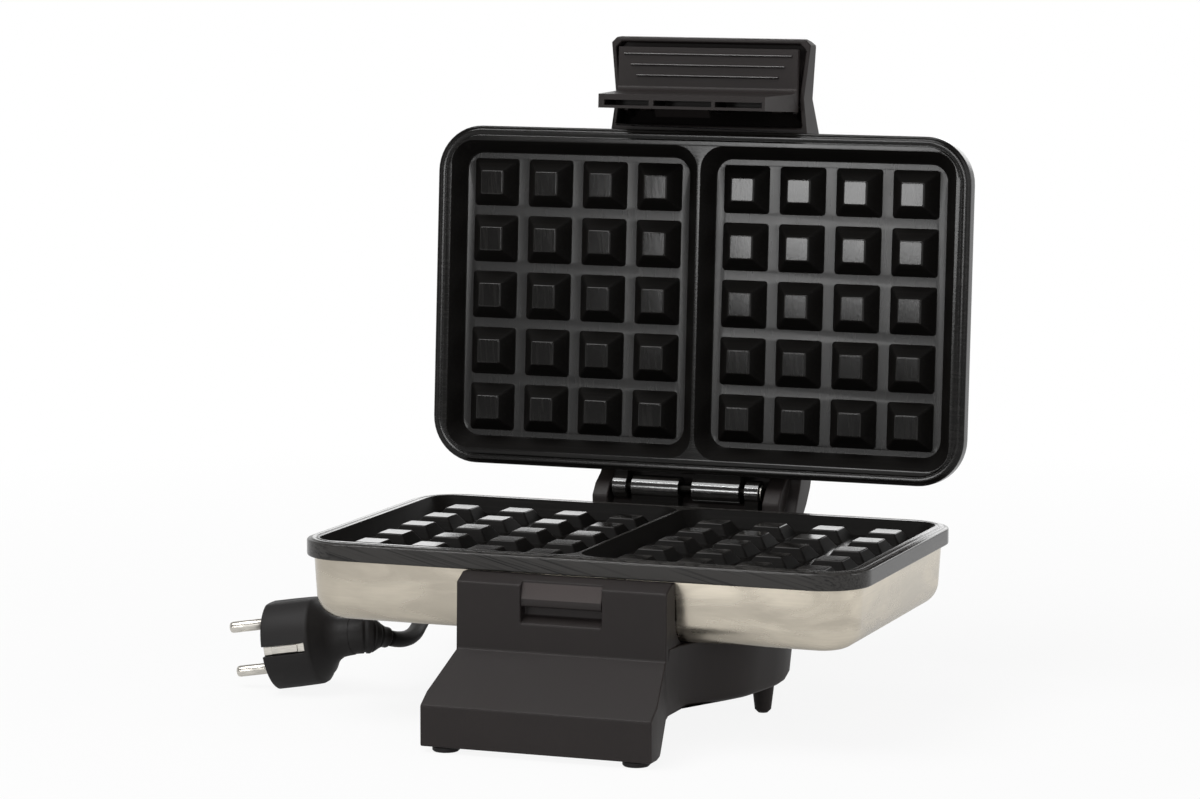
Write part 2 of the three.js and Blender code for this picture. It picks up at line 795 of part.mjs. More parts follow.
function lidBand() {
  const inside = [
    [-halfDepth + housingInset + overrun, handleEdgeRise],
    [-halfDepth + 2 * lidShellTopInset, handleEdgeRise],
    [halfDepth - 2 * lidShellTopInset, handleEdgeRise + overrun],
    [halfDepth - housingInset - overrun, bandPoint(hoodUnderShares[0])[1]],
  ];
  const outline = [...inside, ...hoodUnderShares.map(bandPoint), ...bandTopShares.map(bandPoint)];
  const body = sideSlab(outline, -bandHalfWidth, bandHalfWidth)
    .intersect(slab(bandPlan(0), 0, bandRise + overrun));
  const cheek = cheekShares.map(bandPoint);
  const cheeks = [
    sideSlab(cheek, -bandHalfWidth, hingeOffset - cheekInner),
    sideSlab(cheek, hingeOffset + cheekInner, hingeOffset + cheekOuter),
  ];
  const barrelCut = roundAlongX(
    hoodCutRadius,
    hingeOffset - cheekInner,
    hingeOffset + cheekInner,
    hingeY,
    hingeRise,
  );
  const ceiling = bandTopShares.slice(-5).map(bandPoint).map(([y, z]) => [y, z - bandWall]);
  const cavity = sideSlab([
    [-halfDepth - handleRoot, handleEdgeRise - overrun],
    [-halfDepth - handleRoot, ceiling[0][1]],
    ...ceiling.slice(0, 3),
    [tip + bandWall, ceiling[2][1]],
    [tip + bandWall, handleEdgeRise - overrun],
  ], -bandHalfWidth, bandHalfWidth).intersect(slab(bandPlan(handleSideWall), 0, bandRise));
  const brackets = [-1, 1].map((side) => {
    const [x0, x1] = [side * bracketX, side * (bracketX + bracketThickness)].sort((a, b) => a - b);
    const half = latchKnuckleRadius;
    return sideSlab([
      [latchPinY - half, latchPinRise - half],
      [latchPinY + half, latchPinRise - half],
      [latchPinY + 2 * half, ceiling[0][1] + bandWall / 2],
      [latchPinY - half, ceiling[0][1] + bandWall / 2],
    ], x0, x1);
  });
  const pinBore = roundAlongX(
    latchPinRadius + pinClearance,
    -bracketX - bracketThickness - overrun / 2,
    bracketX + bracketThickness + overrun / 2,
    latchPinY,
    latchPinRise,
    16,
  );
  const lampHoles = [-1, 1].map((side) => joined([
    post(lampRadius + seatGap, side * lampX, lampY, lidShellTop - overrun, bandRise + overrun, 20),
    post(
      lampRadius + lampFlange + seatGap,
      side * lampX,
      lampY,
      lidShellTop - overrun,
      lidShellTop + 2 * seatGap + lampFlangeHeight,
      20,
    ),
  ]));
  return joined([joined([body, ...cheeks]).subtract(barrelCut).subtract(cavity), ...brackets])
    .subtract(lidShellForm(seatGap, true))
    .subtract(pinBore)
    .subtract(joined(lampHoles));
}

function lampLens(side) {
  const seat = lidShellTop + seatGap;
  return turned([
    [0, seat],
    [lampRadius + lampFlange, seat],
    [lampRadius + lampFlange, seat + lampFlangeHeight],
    [lampRadius, seat + lampFlangeHeight],
    [lampRadius, bandRise],
    [lampRadius * 0.8, bandRise + lampDome * 0.7],
    [lampRadius * 0.45, bandRise + lampDome],
    [0, bandRise + lampDome],
  ], side * lampX, lampY, 20);
}

// Latch lever: a grip plate in the handle and a hook down before the stand's front wall
const gripTip = tip + bandWall + gripTipGap;

function latchLever() {
  const gripTop = gripRise + gripThickness;
  const hookBack = -hookInner;
  const side = [
    [gripTip, gripRise],
    [-gripInner, gripRise],
    [-hookOuter - (gripInner - hookOuter) / 3, gripRise - (gripInner - hookOuter)],
    [-hookOuter, gripRise - 2 * (gripInner - hookOuter)],
    [-hookOuter, -hookDrop],
    [hookBack, -hookDrop],
    [hookBack, gripTop],
    [gripTip, gripTop],
  ];
  const widening = [
    [-hookHalfWidth, -hookDrop],
    [hookHalfWidth, -hookDrop],
    [hookHalfWidth, -hookDrop + hookBlockHeight],
    [gripHalfWidth, gripRise],
    [gripHalfWidth, gripTop],
    [-gripHalfWidth, gripTop],
    [-gripHalfWidth, gripRise],
    [-hookHalfWidth, -hookDrop + hookBlockHeight],
  ];
  const upright = new THREE.ExtrudeGeometry(shapeOf(widening), { depth: handleReach, bevelEnabled: false });
  upright.rotateX(Math.PI / 2).translate(0, hookBack, 0);
  const body = sideSlab(side, -gripHalfWidth, gripHalfWidth).intersect(solid(upright));
  const slotShares = [[-0.93, -0.39], [-0.335, 0.36], [0.405, 0.965]];
  const slots = slotShares.map(([from, to]) => block(
    from * hookHalfWidth,
    to * hookHalfWidth,
    -hookOuter + hookSlotWall,
    hookBack - hookSlotWall,
    -hookDrop - overrun,
    -hookDrop + hookSlotDepth,
  ));
  const ribShares = [[0.18, 0.935], [0.46, 0.86], [0.74, 0.79]];
  const ribs = ribShares.map(([along, across]) => {
    const y = gripTip + along * (-gripInner - gripTip);
    const half = across * gripHalfWidth;
    return block(-half, half, y - ribWidth / 2, y + ribWidth / 2, gripRise - ribHeight, gripRise + ribHeight);
  });
  const tooth = sideSlab([
    [hookBack - hookSlotWall / 2, -toothTopDrop],
    [hookBack + toothReach, -toothTopDrop],
    [hookBack + toothReach, -toothTopDrop - toothHeight / 3],
    [hookBack, -toothTopDrop - toothHeight],
    [hookBack - hookSlotWall / 2, -toothTopDrop - toothHeight],
  ], -toothHalfWidth, toothHalfWidth);
  const knuckles = [-1, 1].map((sideX) => {
    const middle = sideX * latchKnuckleX;
    const [x0, x1] = [middle - latchKnuckleWidth / 2, middle + latchKnuckleWidth / 2];
    const neck = block(
      x0,
      x1,
      latchPinY - latchKnuckleRadius * 0.8,
      hookBack,
      gripTop - gripThickness / 2,
      latchPinRise,
    );
    return neck.add(roundAlongX(latchKnuckleRadius, x0, x1, latchPinY, latchPinRise, 20));
  });
  const bore = roundAlongX(
    latchPinRadius + pinClearance,
    -latchKnuckleX - latchKnuckleWidth,
    latchKnuckleX + latchKnuckleWidth,
    latchPinY,
    latchPinRise,
    16,
  );
  return joined([body, ...ribs, ...knuckles]).subtract(joined(slots)).add(tooth).subtract(bore);
}

// A torsion spring round the latch pin: one wire, coiled, with a leg that bears on the handle
function latchSpring() {
  const radius = latchPinRadius + pinClearance + seatGap + springWireRadius;
  const steps = springCurls * 8;
  const start = (-springCurls * springPitch) / 2;
  const points = Array.from({ length: steps + 1 }, (_, k) => {
    const angle = Math.PI + (k / 8) * 2 * Math.PI;
    return [
      start + (k / steps) * springCurls * springPitch,
      latchPinY + radius * Math.cos(angle),
      latchPinRise + radius * Math.sin(angle),
    ];
  });
  const legEnd = bandPoint(bandTopShares.at(-5))[1] - bandWall - seatGap;
  points.unshift([start, latchPinY - radius, gripRise + gripThickness + 3 * seatGap]);
  points.push([-start, latchPinY + radius, legEnd]);
  return tube(points, springWireRadius, 5, springWireRadius * 3);
}

function hingePin() {
  const [x0, x1] = [hingeOffset - shortOuter - seatGap, hingeOffset + shortOuter + seatGap + pinHeadLength];
  return joined([
    roundAlongX(pinRadius, x0 - pinHeadLength, x1, hingeY, hingeRise, 20),
    roundAlongX(pinHeadRadius, x0 - pinHeadLength, x0, hingeY, hingeRise, 20),
  ]);
}

function hingePinClip() {
  const x0 = hingeOffset + shortOuter + seatGap;
  const ring = roundAlongX(pinHeadRadius, x0, x0 + pinHeadLength / 2, hingeY, hingeRise, 20);
  const opening = sideSlab([
    [hingeY, hingeRise],
    [hingeY + pinHeadRadius + overrun, hingeRise - pinHeadRadius],
    [hingeY + pinHeadRadius + overrun, hingeRise + pinHeadRadius],
  ], x0 - overrun, x0 + overrun);
  return ring
    .subtract(roundAlongX(pinRadius + pinClearance, x0 - overrun, x0 + overrun, hingeY, hingeRise, 20))
    .subtract(opening);
}

// Heating element: a rod bent round under the plate, its two ends turned away from it
function heatingElement() {
  const outline = roundedRectangle(elementHalfX, elementHalfY, elementCorner, 0, 0, 5);
  const backRun = elementHalfX * elementGapShare;
  const start = outline.findIndex(([x, y]) => x <= 0 && y > 0);
  const loop = [...outline.slice(start), ...outline.slice(0, start)];
  const z = elementDepth;
  const points = [
    [-backRun, elementHalfY, z - terminalDrop],
    [-backRun - elementRadius, elementHalfY, z - elementRadius],
    [-backRun - 3 * elementRadius, elementHalfY, z],
    [-backRun - 5 * elementRadius, elementHalfY, z],
    ...loop.map(([x, y]) => [x, y, z]),
    [backRun + 5 * elementRadius, elementHalfY, z],
    [backRun + 3 * elementRadius, elementHalfY, z],
    [backRun + elementRadius, elementHalfY, z - elementRadius],
    [backRun, elementHalfY, z - terminalDrop],
  ];
  return tube(points, elementRadius, 8, elementRadius * 2.4);
}

function reflector() {
  const inset = reflectorInset;
  const top = reflectorTop - seatGap;
  const sheet = slab(plateOutline(inset, 4), top - reflectorThickness, top);
  const slot = block(
    -elementHalfX * elementGapShare - 5 * elementRadius,
    elementHalfX * elementGapShare + 5 * elementRadius,
    elementHalfY - 2 * elementRadius,
    elementHalfY + 2 * elementRadius,
    reflectorTop - overrun,
    reflectorTop + overrun,
  );
  const eye = post(thermostatRadius + 1.5 * elementRadius, 0, 0, reflectorTop - overrun, reflectorTop + overrun);
  return sheet.subtract(slot).subtract(eye);
}

function thermostat() {
  const top = -blockDepth - seatGap;
  return turned([
    [0, top - thermostatHeight - thermostatStemHeight],
    [thermostatStemRadius, top - thermostatHeight - thermostatStemHeight],
    [thermostatStemRadius, top - thermostatHeight],
    [thermostatRadius * 0.85, top - thermostatHeight],
    [thermostatRadius, top - thermostatHeight * 0.8],
    [thermostatRadius, top],
    [0, top],
  ], 0, 0, 20);
}

function thermalFuse() {
  const y = -elementHalfY / 2;
  const z = -blockDepth - seatGap - fuseRadius - fuseLeadRadius;
  const half = fuseLength / 2;
  return joined([
    roundAlongX(fuseRadius, -half, half, y, z, 12),
    roundAlongX(fuseLeadRadius, -fuseLength, fuseLength, y, z, 8),
    block(
      -fuseClipWidth / 2,
      fuseClipWidth / 2,
      y - fuseRadius,
      y + 2 * fuseRadius,
      z,
      -blockDepth - seatGap,
    ),
  ]);
}

function terminalBlock() {
  const [y, z0] = [tailBack * 0.5, underside + coverThickness + seatGap];
  const body = block(
    -terminalWidth / 2,
    terminalWidth / 2,
    y - terminalDepth / 2,
    y + terminalDepth / 2,
    z0,
    z0 + terminalHeight,
  );
  const ways = [-1, 0, 1].flatMap((k) => {
    const way = new THREE.CylinderGeometry(terminalWayRadius, terminalWayRadius, terminalDepth + overrun, 12);
    const x = k * terminalPitch;
    return [
      solid(way.translate(x, y, z0 + terminalHeight / 2)),
      post(
        terminalScrewRadius,
        x,
        y - terminalDepth / 4,
        z0 + terminalHeight / 2,
        z0 + terminalHeight + overrun,
        12,
      ),
    ];
  });
  return body.subtract(joined(ways));
}

// Cord gland: a flange inside the tail, a body through its back and a tapered sleeve
function cordGland() {
  const seat = -glandSeatDepth - seatGap;
  const profile = [
    [0, seat - glandFlangeLength],
    [glandFlangeRadius, seat - glandFlangeLength],
    [glandFlangeRadius, seat],
    [glandRootRadius, seat],
    [glandRootRadius, standWall],
    [glandRootRadius * 0.85, standWall * 1.6],
    [glandTipRadius, glandLength],
    [0, glandLength],
  ];
  const points = profile.map(([radius, along]) => new THREE.Vector2(radius, along));
  return solid(new THREE.LatheGeometry(points, 20).translate(glandX, tailBack, -glandDrop));
}

// Plug, built with its face at the origin and its pins along +Y, then laid in place
const plugTurn = new THREE.Matrix4()
  .makeRotationZ((plugYaw - 90) * degree)
  .multiply(new THREE.Matrix4().makeRotationX(plugPitch * degree))
  .setPosition(...plugFace);

// Where along its bend the neck tapers, as shares
const reliefTaperShares = [0.45, 0.9];

function plugBody() {
  const neckAt = (share) => -plugBodyLength - plugNeckLength * share;
  const sections = [
    [0, plugFaceRadius * 0.97], [-overrun / 2, plugFaceRadius],
    [-plugBodyLength * 0.92, plugFaceRadius * 0.98],
    [-plugBodyLength, plugFaceRadius * 0.94], [neckAt(0.19), plugFaceRadius * 0.77],
    [neckAt(0.44), plugNeckRadius * 1.22], [neckAt(0.62), plugNeckRadius * 1.04],
    [neckAt(0.8), plugNeckRadius],
    [neckAt(1), plugNeckRadius * 0.98],
  ];
  const points = [[0, sections[0][0]], ...sections.map(([y, r]) => [r, y]), [0, sections.at(-1)[0]]];
  const lathe = new THREE.LatheGeometry(points.map(([r, y]) => new THREE.Vector2(r, y)).reverse(), 28);
  const slot = joined([-1, 1].map((side) => {
    const ends = [side * (plugFaceRadius - plugSlotDepth), side * (plugFaceRadius + overrun)];
    const [x0, x1] = ends.sort((a, b) => a - b);
    return block(x0, x1, -plugBodyLength * 0.9, overrun, -plugSlotHeight / 2, plugSlotHeight / 2);
  }));
  const holes = joined([-1, 1].map((side) => {
    const bore = plugPinRadius + seatGap;
    const hole = new THREE.CylinderGeometry(bore, bore, plugPinSeat + overrun, 16);
    return solid(hole.translate(0, (overrun - plugPinSeat) / 2, (side * plugPinSpacing) / 2));
  }));
  const flats = block(
    -plugFaceRadius - overrun,
    plugFaceRadius + overrun,
    -plugBodyLength - plugNeckLength - overrun,
    overrun,
    -plugFlat,
    plugFlat,
  );
  return joined([solid(lathe).intersect(flats).subtract(slot).subtract(holes), plugRelief()]);
}

// The plug's neck bends towards the object and tapers to the cord
function plugRelief() {
  const steps = 12;
  const back = -plugBodyLength - plugNeckLength;
  const path = Array.from({ length: steps + 1 }, (_, k) => {
    const angle = (k / steps) * plugReliefTurn * degree;
    const aside = plugReliefBend * (1 - Math.cos(angle));
    return [
      aside * Math.cos(plugReliefDroop * degree),
      back - plugReliefBend * Math.sin(angle),
      -aside * Math.sin(plugReliefDroop * degree),
    ];
  });
  path.unshift([0, back + overrun / 2, 0]);
  const radii = path.map((_, k) => {
    const taper = THREE.MathUtils.smoothstep(k / (steps + 1), ...reliefTaperShares);
    return THREE.MathUtils.lerp(plugNeckRadius * 0.95, plugTipRadius, taper);
  });
  return swept(path, radii, 14).body;
}

function plugPin(side) {
  const profile = [
    [0, -plugPinSeat + seatGap],
    [plugPinRadius, -plugPinSeat + seatGap],
    [plugPinRadius, plugPinLength - plugPinRadius * 0.6],
    [plugPinRadius * 0.6, plugPinLength],
    [0, plugPinLength],
  ];
  const points = profile.map(([radius, along]) => new THREE.Vector2(radius, along));
  return solid(new THREE.LatheGeometry(points, 16).translate(0, 0, (side * plugPinSpacing) / 2));
}

function earthContact(side) {
  const root = side * (plugFaceRadius - plugSlotDepth + seatGap);
  const [x0, x1] = [root, root + side * earthThickness].sort((a, b) => a - b);
  const half = (plugSlotHeight - 2 * seatGap) / 2;
  return block(x0, x1, -plugBodyLength * 0.9 + seatGap, -seatGap, -half, half);
}

function coilRadius(turn) {
  const middle = coilTurns / 2;
  return coilMiddleRadius + coilSpacing * (Math.abs(turn - middle) - middle / 2);
}

// Coil: piled turns that spiral in and out again, climbing a layer where they turn back
function coilPoint(turn, centre) {
  const middle = coilTurns / 2;
  const radius = coilRadius(turn);
  const climb = THREE.MathUtils.smoothstep(turn, middle - coilClimbTurns / 2, middle + coilClimbTurns / 2);
  const angle = Math.PI / 2 - turn * 2 * Math.PI;
  return [
    centre[0] + radius * Math.cos(angle),
    centre[1] + radius * Math.sin(angle),
    centre[2] + climb * coilSpacing,
  ];
}

const coilSteps = Math.round(coilTurns * coilStepsPerTurn);

function coilPath() {
  const turns = Array.from({ length: coilSteps + 1 }, (_, k) => (
    coilPoint((k / coilSteps) * coilTurns, coilCentre)
  ));
  const straight = 2 * cordRadius;
  const [first, last] = [turns[0], turns.at(-1)];
  const into = [first[0] - straight, first[1], first[2]];
  const out = [last[0] + straight, last[1], last[2]];
  return [into, ...turns, out];
}

// A skin of rings along a path that never runs straight up, its ends square to it
function swept(path, radii, sides) {
  const up = new THREE.Vector3(0, 0, 1);
  const positions = path.flatMap((point, k) => {
    const here = new THREE.Vector3(...point);
    const before = new THREE.Vector3(...path[Math.max(k - 1, 0)]);
    const ahead = new THREE.Vector3(...path[Math.min(k + 1, path.length - 1)]).sub(before).normalize();
    const across = new THREE.Vector3().crossVectors(ahead, up).normalize();
    const above = new THREE.Vector3().crossVectors(across, ahead);
    return Array.from({ length: sides }, (_, side) => {
      const angle = ((side + 0.5) / sides) * 2 * Math.PI;
      return here.clone()
        .addScaledVector(across, radii[k] * Math.cos(angle))
        .addScaledVector(above, radii[k] * Math.sin(angle))
        .toArray();
    }).flat();
  });
  const faces = [];
  for (let k = 0; k + 1 < path.length; k += 1) {
    for (let side = 0; side < sides; side += 1) {
      const [a, b] = [k * sides + side, k * sides + ((side + 1) % sides)];
      faces.push(a, b + sides, b, a, a + sides, b + sides);
    }
  }
  const last = (path.length - 1) * sides;
  for (let side = 1; side + 1 < sides; side += 1) {
    faces.push(0, side, side + 1);
    faces.push(last, last + side + 1, last + side);
  }
  const geometry = new THREE.BufferGeometry();
  geometry.setAttribute("position", new THREE.Float32BufferAttribute(positions, 3));
  geometry.setIndex(faces);
  return { body: solid(geometry), positions, rings: path.length };
}

function cordCoil() {
  const path = coilPath();
  return swept(path, path.map(() => cordRadius), coilSides);
}

// The least gap between the coil's own stretches, measured on its surface's points
function coilGap({ positions, rings }) {
  let least = Infinity;
  const apart = Math.round(coilStepsPerTurn / 3);
  for (let i = 0; i < rings; i += 1) {
    for (let j = i + apart; j < rings; j += 1) {
      for (let a = 0; a < coilSides; a += 1) {
        for (let b = 0; b < coilSides; b += 1) {
          const [p, q] = [(i * coilSides + a) * 3, (j * coilSides + b) * 3];
          const step = Math.hypot(
            positions[p] - positions[q],
            positions[p + 1] - positions[q + 1],
            positions[p + 2] - positions[q + 2],
          );
          least = Math.min(least, step);
        }
      }
    }
  }
  return least;
}

// A tie round the coil's turns, on its right
function coilTie() {
  const half = cordRadius + seatGap;
  const inner = coilRadius((coilTurns - 0.5) / 2) - half;
  const outer = coilRadius(tieTurns) + half;
  const low = coilCentre[2] - half;
  const high = coilCentre[2] + coilSpacing + half;
  const middle = [coilCentre[0] + (inner + outer) / 2, (low + high) / 2];
  const ring = (grow) => (
    roundedRectangle((outer - inner) / 2 + grow, (high - low) / 2 + grow, cordRadius, 0, 0, 4)
  );
  const upright = (points, width) => {
    const geometry = new THREE.ExtrudeGeometry(shapeOf(points), { depth: width, bevelEnabled: false });
    geometry.translate(0, 0, -width / 2).rotateX(Math.PI / 2);
    return solid(geometry.translate(middle[0], coilCentre[1], middle[1]));
  };
  return upright(ring(tieThickness), tieWidth).subtract(upright(ring(0), tieWidth + overrun));
}

function mesh(name, body, look) {
  const made = new THREE.Mesh(geometryOf(body), new THREE.MeshStandardMaterial(look));
  made.name = name;
  return made;
}

function placed(name, body, look, matrix) {
  const made = mesh(name, body, look);
  made.applyMatrix4(matrix);
  return made;
}

const coil = cordCoil();
const cordMetres = (
  pathLength(plugRoute) + pathLength(coilPath()) + pathLength(glandRoute)
) / 1000;
console.log(`cord coil: least gap to itself ${coilGap(coil).toFixed(2)} mm`);
console.log(`cord: free length ${cordMetres.toFixed(3)} m`);

const fixed = new THREE.Group();
fixed.add(
  mesh("base_stand", baseStand(), colours.plastic),
  mesh("bottom_cover", bottomCover(), colours.plastic),
  ...coverScrews.map((place, k) => mesh(`bottom_cover_screw_${k + 1}`, coverScrew(place), colours.nickel)),
  mesh("front_foot_left", foot(-frontFootX, frontY + frontFootInset, blockBottom - seatGap), colours.rubber),
  mesh("front_foot_right", foot(frontFootX, frontY + frontFootInset, blockBottom - seatGap), colours.rubber),
  mesh("middle_leg_left", leg(-1), colours.plastic),
  mesh("middle_leg_right", leg(1), colours.plastic),
  mesh("rear_foot_left", foot(-rearFootX, rearFootY, underside - seatGap), colours.rubber),
  mesh("rear_foot_right", foot(rearFootX, rearFootY, underside - seatGap), colours.rubber),
  mesh("lower_housing", lowerHousing(), colours.steel),
  mesh("lower_plate", lowerPlate(), colours.coating),
  mesh("lower_heating_element", heatingElement(), colours.tube),
  mesh("lower_reflector", reflector(), colours.foil),
  mesh("thermostat", thermostat(), colours.ceramic),
  mesh("thermal_fuse", thermalFuse(), colours.ceramic),
  mesh("terminal_block", terminalBlock(), colours.ceramic),
  mesh("hinge_pin", hingePin(), colours.nickel),
  mesh("hinge_pin_clip", hingePinClip(), colours.nickel),
  mesh("cord_gland", cordGland(), colours.rubber),
);

const lid = new THREE.Group();
const upward = new THREE.Matrix4()
  .makeTranslation(0, 0, rimGap)
  .multiply(new THREE.Matrix4().makeRotationX(Math.PI));
lid.add(
  mesh("upper_plate", upperPlate(), colours.coating),
  mesh("lid_shell", lidShell(), colours.steel),
  mesh("lid_band", lidBand(), colours.plastic),
  placed("upper_heating_element", heatingElement(), colours.tube, upward),
  placed("upper_reflector", reflector(), colours.foil, upward),
  mesh("power_lamp_lens", lampLens(-1), colours.red),
  mesh("ready_lamp_lens", lampLens(1), colours.green),
  mesh("latch_lever", latchLever(), colours.plastic),
  mesh("latch_pin", roundAlongX(
    latchPinRadius,
    -bracketX - bracketThickness,
    bracketX + bracketThickness,
    latchPinY,
    latchPinRise,
    16,
  ), colours.nickel),
  mesh("latch_spring", latchSpring(), colours.nickel),
);
lid.position.set(0, -hingeY, -hingeRise);

const opened = new THREE.Group();
opened.add(lid);
opened.position.set(0, hingeY, hingeRise);
opened.rotation.x = -openAngle * degree;

const lead = new THREE.Group();
lead.add(
  mesh("cord_at_plug", tube(plugRoute, cordRadius, cordSides, cordStep), colours.rubber),
  mesh("cord_coil", coil.body, colours.rubber),
  mesh("cord_at_gland", tube(glandRoute, cordRadius, cordSides, cordStep), colours.rubber),
  mesh("cord_tie", coilTie(), colours.plastic),
  placed("plug_body", plugBody(), colours.rubber, plugTurn),
  placed("plug_pin_upper", plugPin(1), colours.nickel, plugTurn),
  placed("plug_pin_lower", plugPin(-1), colours.nickel, plugTurn),
  placed("plug_earth_near", earthContact(1), colours.nickel, plugTurn),
  placed("plug_earth_far", earthContact(-1), colours.nickel, plugTurn),
);

const waffleMaker = new THREE.Group();
const object = new THREE.Group();
object.add(fixed, opened);
const extent = new THREE.Box3().setFromObject(object, true);
waffleMaker.add(object, lead);
waffleMaker.position.set(
  -(extent.min.x + extent.max.x) / 2,
  -(extent.min.y + extent.max.y) / 2,
  -extent.min.z,
);

export default waffleMaker;
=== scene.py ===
"""Belgian waffle maker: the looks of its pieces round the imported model, laid out as an add-on.

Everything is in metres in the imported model's frame: X to the right, Y to the back, Z up from the
table. A piece of the lid is made as it lies when the lid is closed, and then turned open.
"""

import json
import math

import bmesh
import bpy
from bpy.props import FloatProperty, FloatVectorProperty, IntProperty, PointerProperty
from mathutils import Matrix, Vector
from mathutils.geometry import tessellate_polygon


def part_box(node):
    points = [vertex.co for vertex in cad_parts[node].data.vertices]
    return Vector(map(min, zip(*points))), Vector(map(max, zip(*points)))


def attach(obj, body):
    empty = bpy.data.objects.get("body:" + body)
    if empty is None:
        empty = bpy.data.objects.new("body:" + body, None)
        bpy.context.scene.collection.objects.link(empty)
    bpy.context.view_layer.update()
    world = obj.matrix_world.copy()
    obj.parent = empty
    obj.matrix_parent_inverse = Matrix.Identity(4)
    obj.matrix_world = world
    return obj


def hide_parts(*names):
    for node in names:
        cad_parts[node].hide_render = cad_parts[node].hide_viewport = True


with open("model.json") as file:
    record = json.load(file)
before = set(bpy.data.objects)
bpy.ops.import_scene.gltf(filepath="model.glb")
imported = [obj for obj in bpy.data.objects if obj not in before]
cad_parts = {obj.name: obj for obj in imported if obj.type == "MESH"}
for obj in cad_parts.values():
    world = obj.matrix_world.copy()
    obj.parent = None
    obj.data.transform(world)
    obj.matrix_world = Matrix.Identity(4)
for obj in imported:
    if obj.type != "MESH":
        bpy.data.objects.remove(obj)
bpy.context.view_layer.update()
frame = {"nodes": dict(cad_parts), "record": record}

bl_info = {
    "name": "Belgian Waffle Maker",
    "version": (1, 0, 0),
    "blender": (4, 5, 0),
    "location": "View3D > Sidebar > Waffle Maker",
    "description": "Builds the pieces and finishes of a hinged waffle maker",
    "category": "Object",
}

MM = 0.001
RIM = Vector((0, (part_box("lower_housing")[0][1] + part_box("lower_housing")[1][1]) / 2, 75 * MM))
JOINTS = {joint["name"]: joint for joint in frame["record"]["behaviour"]["joints"]}
HINGE = Vector(JOINTS["lid_hinge"]["pos_m"])
OPENED = (
    Matrix.Translation(HINGE)
    @ Matrix.Rotation(-math.radians(JOINTS["lid_hinge"]["range_deg"][1]), 4, "X")
    @ Matrix.Translation(-HINGE)
)
KNUCKLE_MIDDLE = -2.9 * MM
LONG_KNUCKLE = (3.05 * MM, 24.35 * MM)
SHORT_KNUCKLE = (26.95 * MM, 32.95 * MM)

# The lead's free stretches, centre line in millimetres from the middle of the lower plate's rim
PLUG_ROUTE = [
    (-109.63, 0.12, -51.8), (-107.84, 4.79, -53.16), (-106.61, 9.63, -54),
    (-105.97, 14.59, -54.2), (-105.92, 19.58, -53.85), (-106.46, 24.55, -53.15),
    (-107.45, 29.45, -52.25), (-108.46, 34.35, -51.3), (-109.89, 41.2, -50),
    (-112.22, 52.46, -48.4), (-114.56, 63.72, -48), (-116.89, 74.98, -49.2),
    (-119.23, 86.24, -51.8), (-121.56, 97.5, -55.4), (-123.9, 108.77, -59.5),
    (-126.23, 120.03, -63.6), (-127.29, 131.45, -67.2), (-125.71, 142.82, -69.9),
    (-121.58, 153.52, -71.2), (-115.12, 163.01, -71.3), (-106.67, 170.77, -71),
    (-96.67, 176.4, -70.5), (-85.65, 179.6, -70.22), (-77.3, 180.3, -70.2),
]
GLAND_ROUTE = [
    (-62.7, 180.3, -62.5), (-59.2, 180.3, -62.5), (-54.73, 180.3, -62.8),
    (-46.13, 180.3, -64.41), (-37.53, 180.15, -66.78), (-29.02, 178.99, -69.19),
    (-20.73, 176.69, -70.9), (-12.84, 173.31, -71.3), (-5.46, 168.89, -70.59),
    (1.25, 163.53, -68.27), (7.19, 157.31, -64.83), (12.23, 150.36, -60.78),
    (16.3, 142.79, -56.62), (19.31, 134.74, -52.86), (21.22, 126.36, -50.01),
    (21.87, 120.4, -48.83), (21.99, 117.4, -48.55), (22, 114.9, -48.5),
    (22, 112.4, -48.5),
]
COIL_CENTRE = (-70, 136, -70.2)
COIL_RADIUS = 38.5
COIL_TURNS = 3
COIL_SPACING = 7.7
COIL_STEPS = 48
COIL_CLIMB = 0.5
GLAND_PLACE = (22, 88, -48.5)
PIN_ASIDE = 9.5 * MM
CORD_STEP = 3 * MM
CORD_SIDES = 18
PLUG_SIDES = 64
# The lead's share of its diameter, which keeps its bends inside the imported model's box
CORD_FIT = 0.98
# Where the rings of the plug's sleeve start and end, as shares of its bend
SLEEVE_GROOVES = ((0.3, 0.36), (0.5, 0.55), (0.7, 0.75))
PLUG_PLACE = (
    Matrix.Translation(RIM + Vector((-155.6, -11.4, -56)) * MM)
    @ Matrix.Rotation(math.radians(185.4 - 90), 4, "Z")
    @ Matrix.Rotation(math.radians(-9), 4, "X")
)
PLATE_GAP = 1 * MM
NUB_CORNERS = (1.4 * MM, 0.6 * MM)

# How edges are rounded and surfaces shaded
SAME_PLACE = 0.001 * MM
LEAST_SLANT = 0.35
ROOM_SHARE = 0.42
SHADING_WEIGHT = 60
BUMP_DEPTH = 0.1 * MM
PLASTIC_IOR = 1.5
# Shares of a moulding's colour in its darker and lighter patches and on its paler edges, which are
# partly wear and partly painted highlight
MOULDED_TONES = (0.82, 1.22, 3.2)

# The stage: the camera from the rim's middle, turned by yaw, pitch and roll in degrees
CAMERA_PLACE = Vector((0.59985, -1.64954, 0.27742))
CAMERA_TURNS = (20.396, 7.237, 0.083)
CAMERA_LENS = 129.27
FLOOR_CORNERS = ((-4, -4), (4, -4), (4, 6), (-4, 6))
WHITE = (1, 1, 1, 1)
PLAIN_LIGHT = 0.35

# How each kind of ray sees the floor turn white: from where, to where, and the share at the middle
FLOOR_FADES = (
    ("Is Camera Ray", 0.25, 0.8, 0.9),
    ("Is Transmission Ray", 0.25, 0.8, 0.9),
    ("Is Glossy Ray", 0.1, 0.5, 0.35),
)

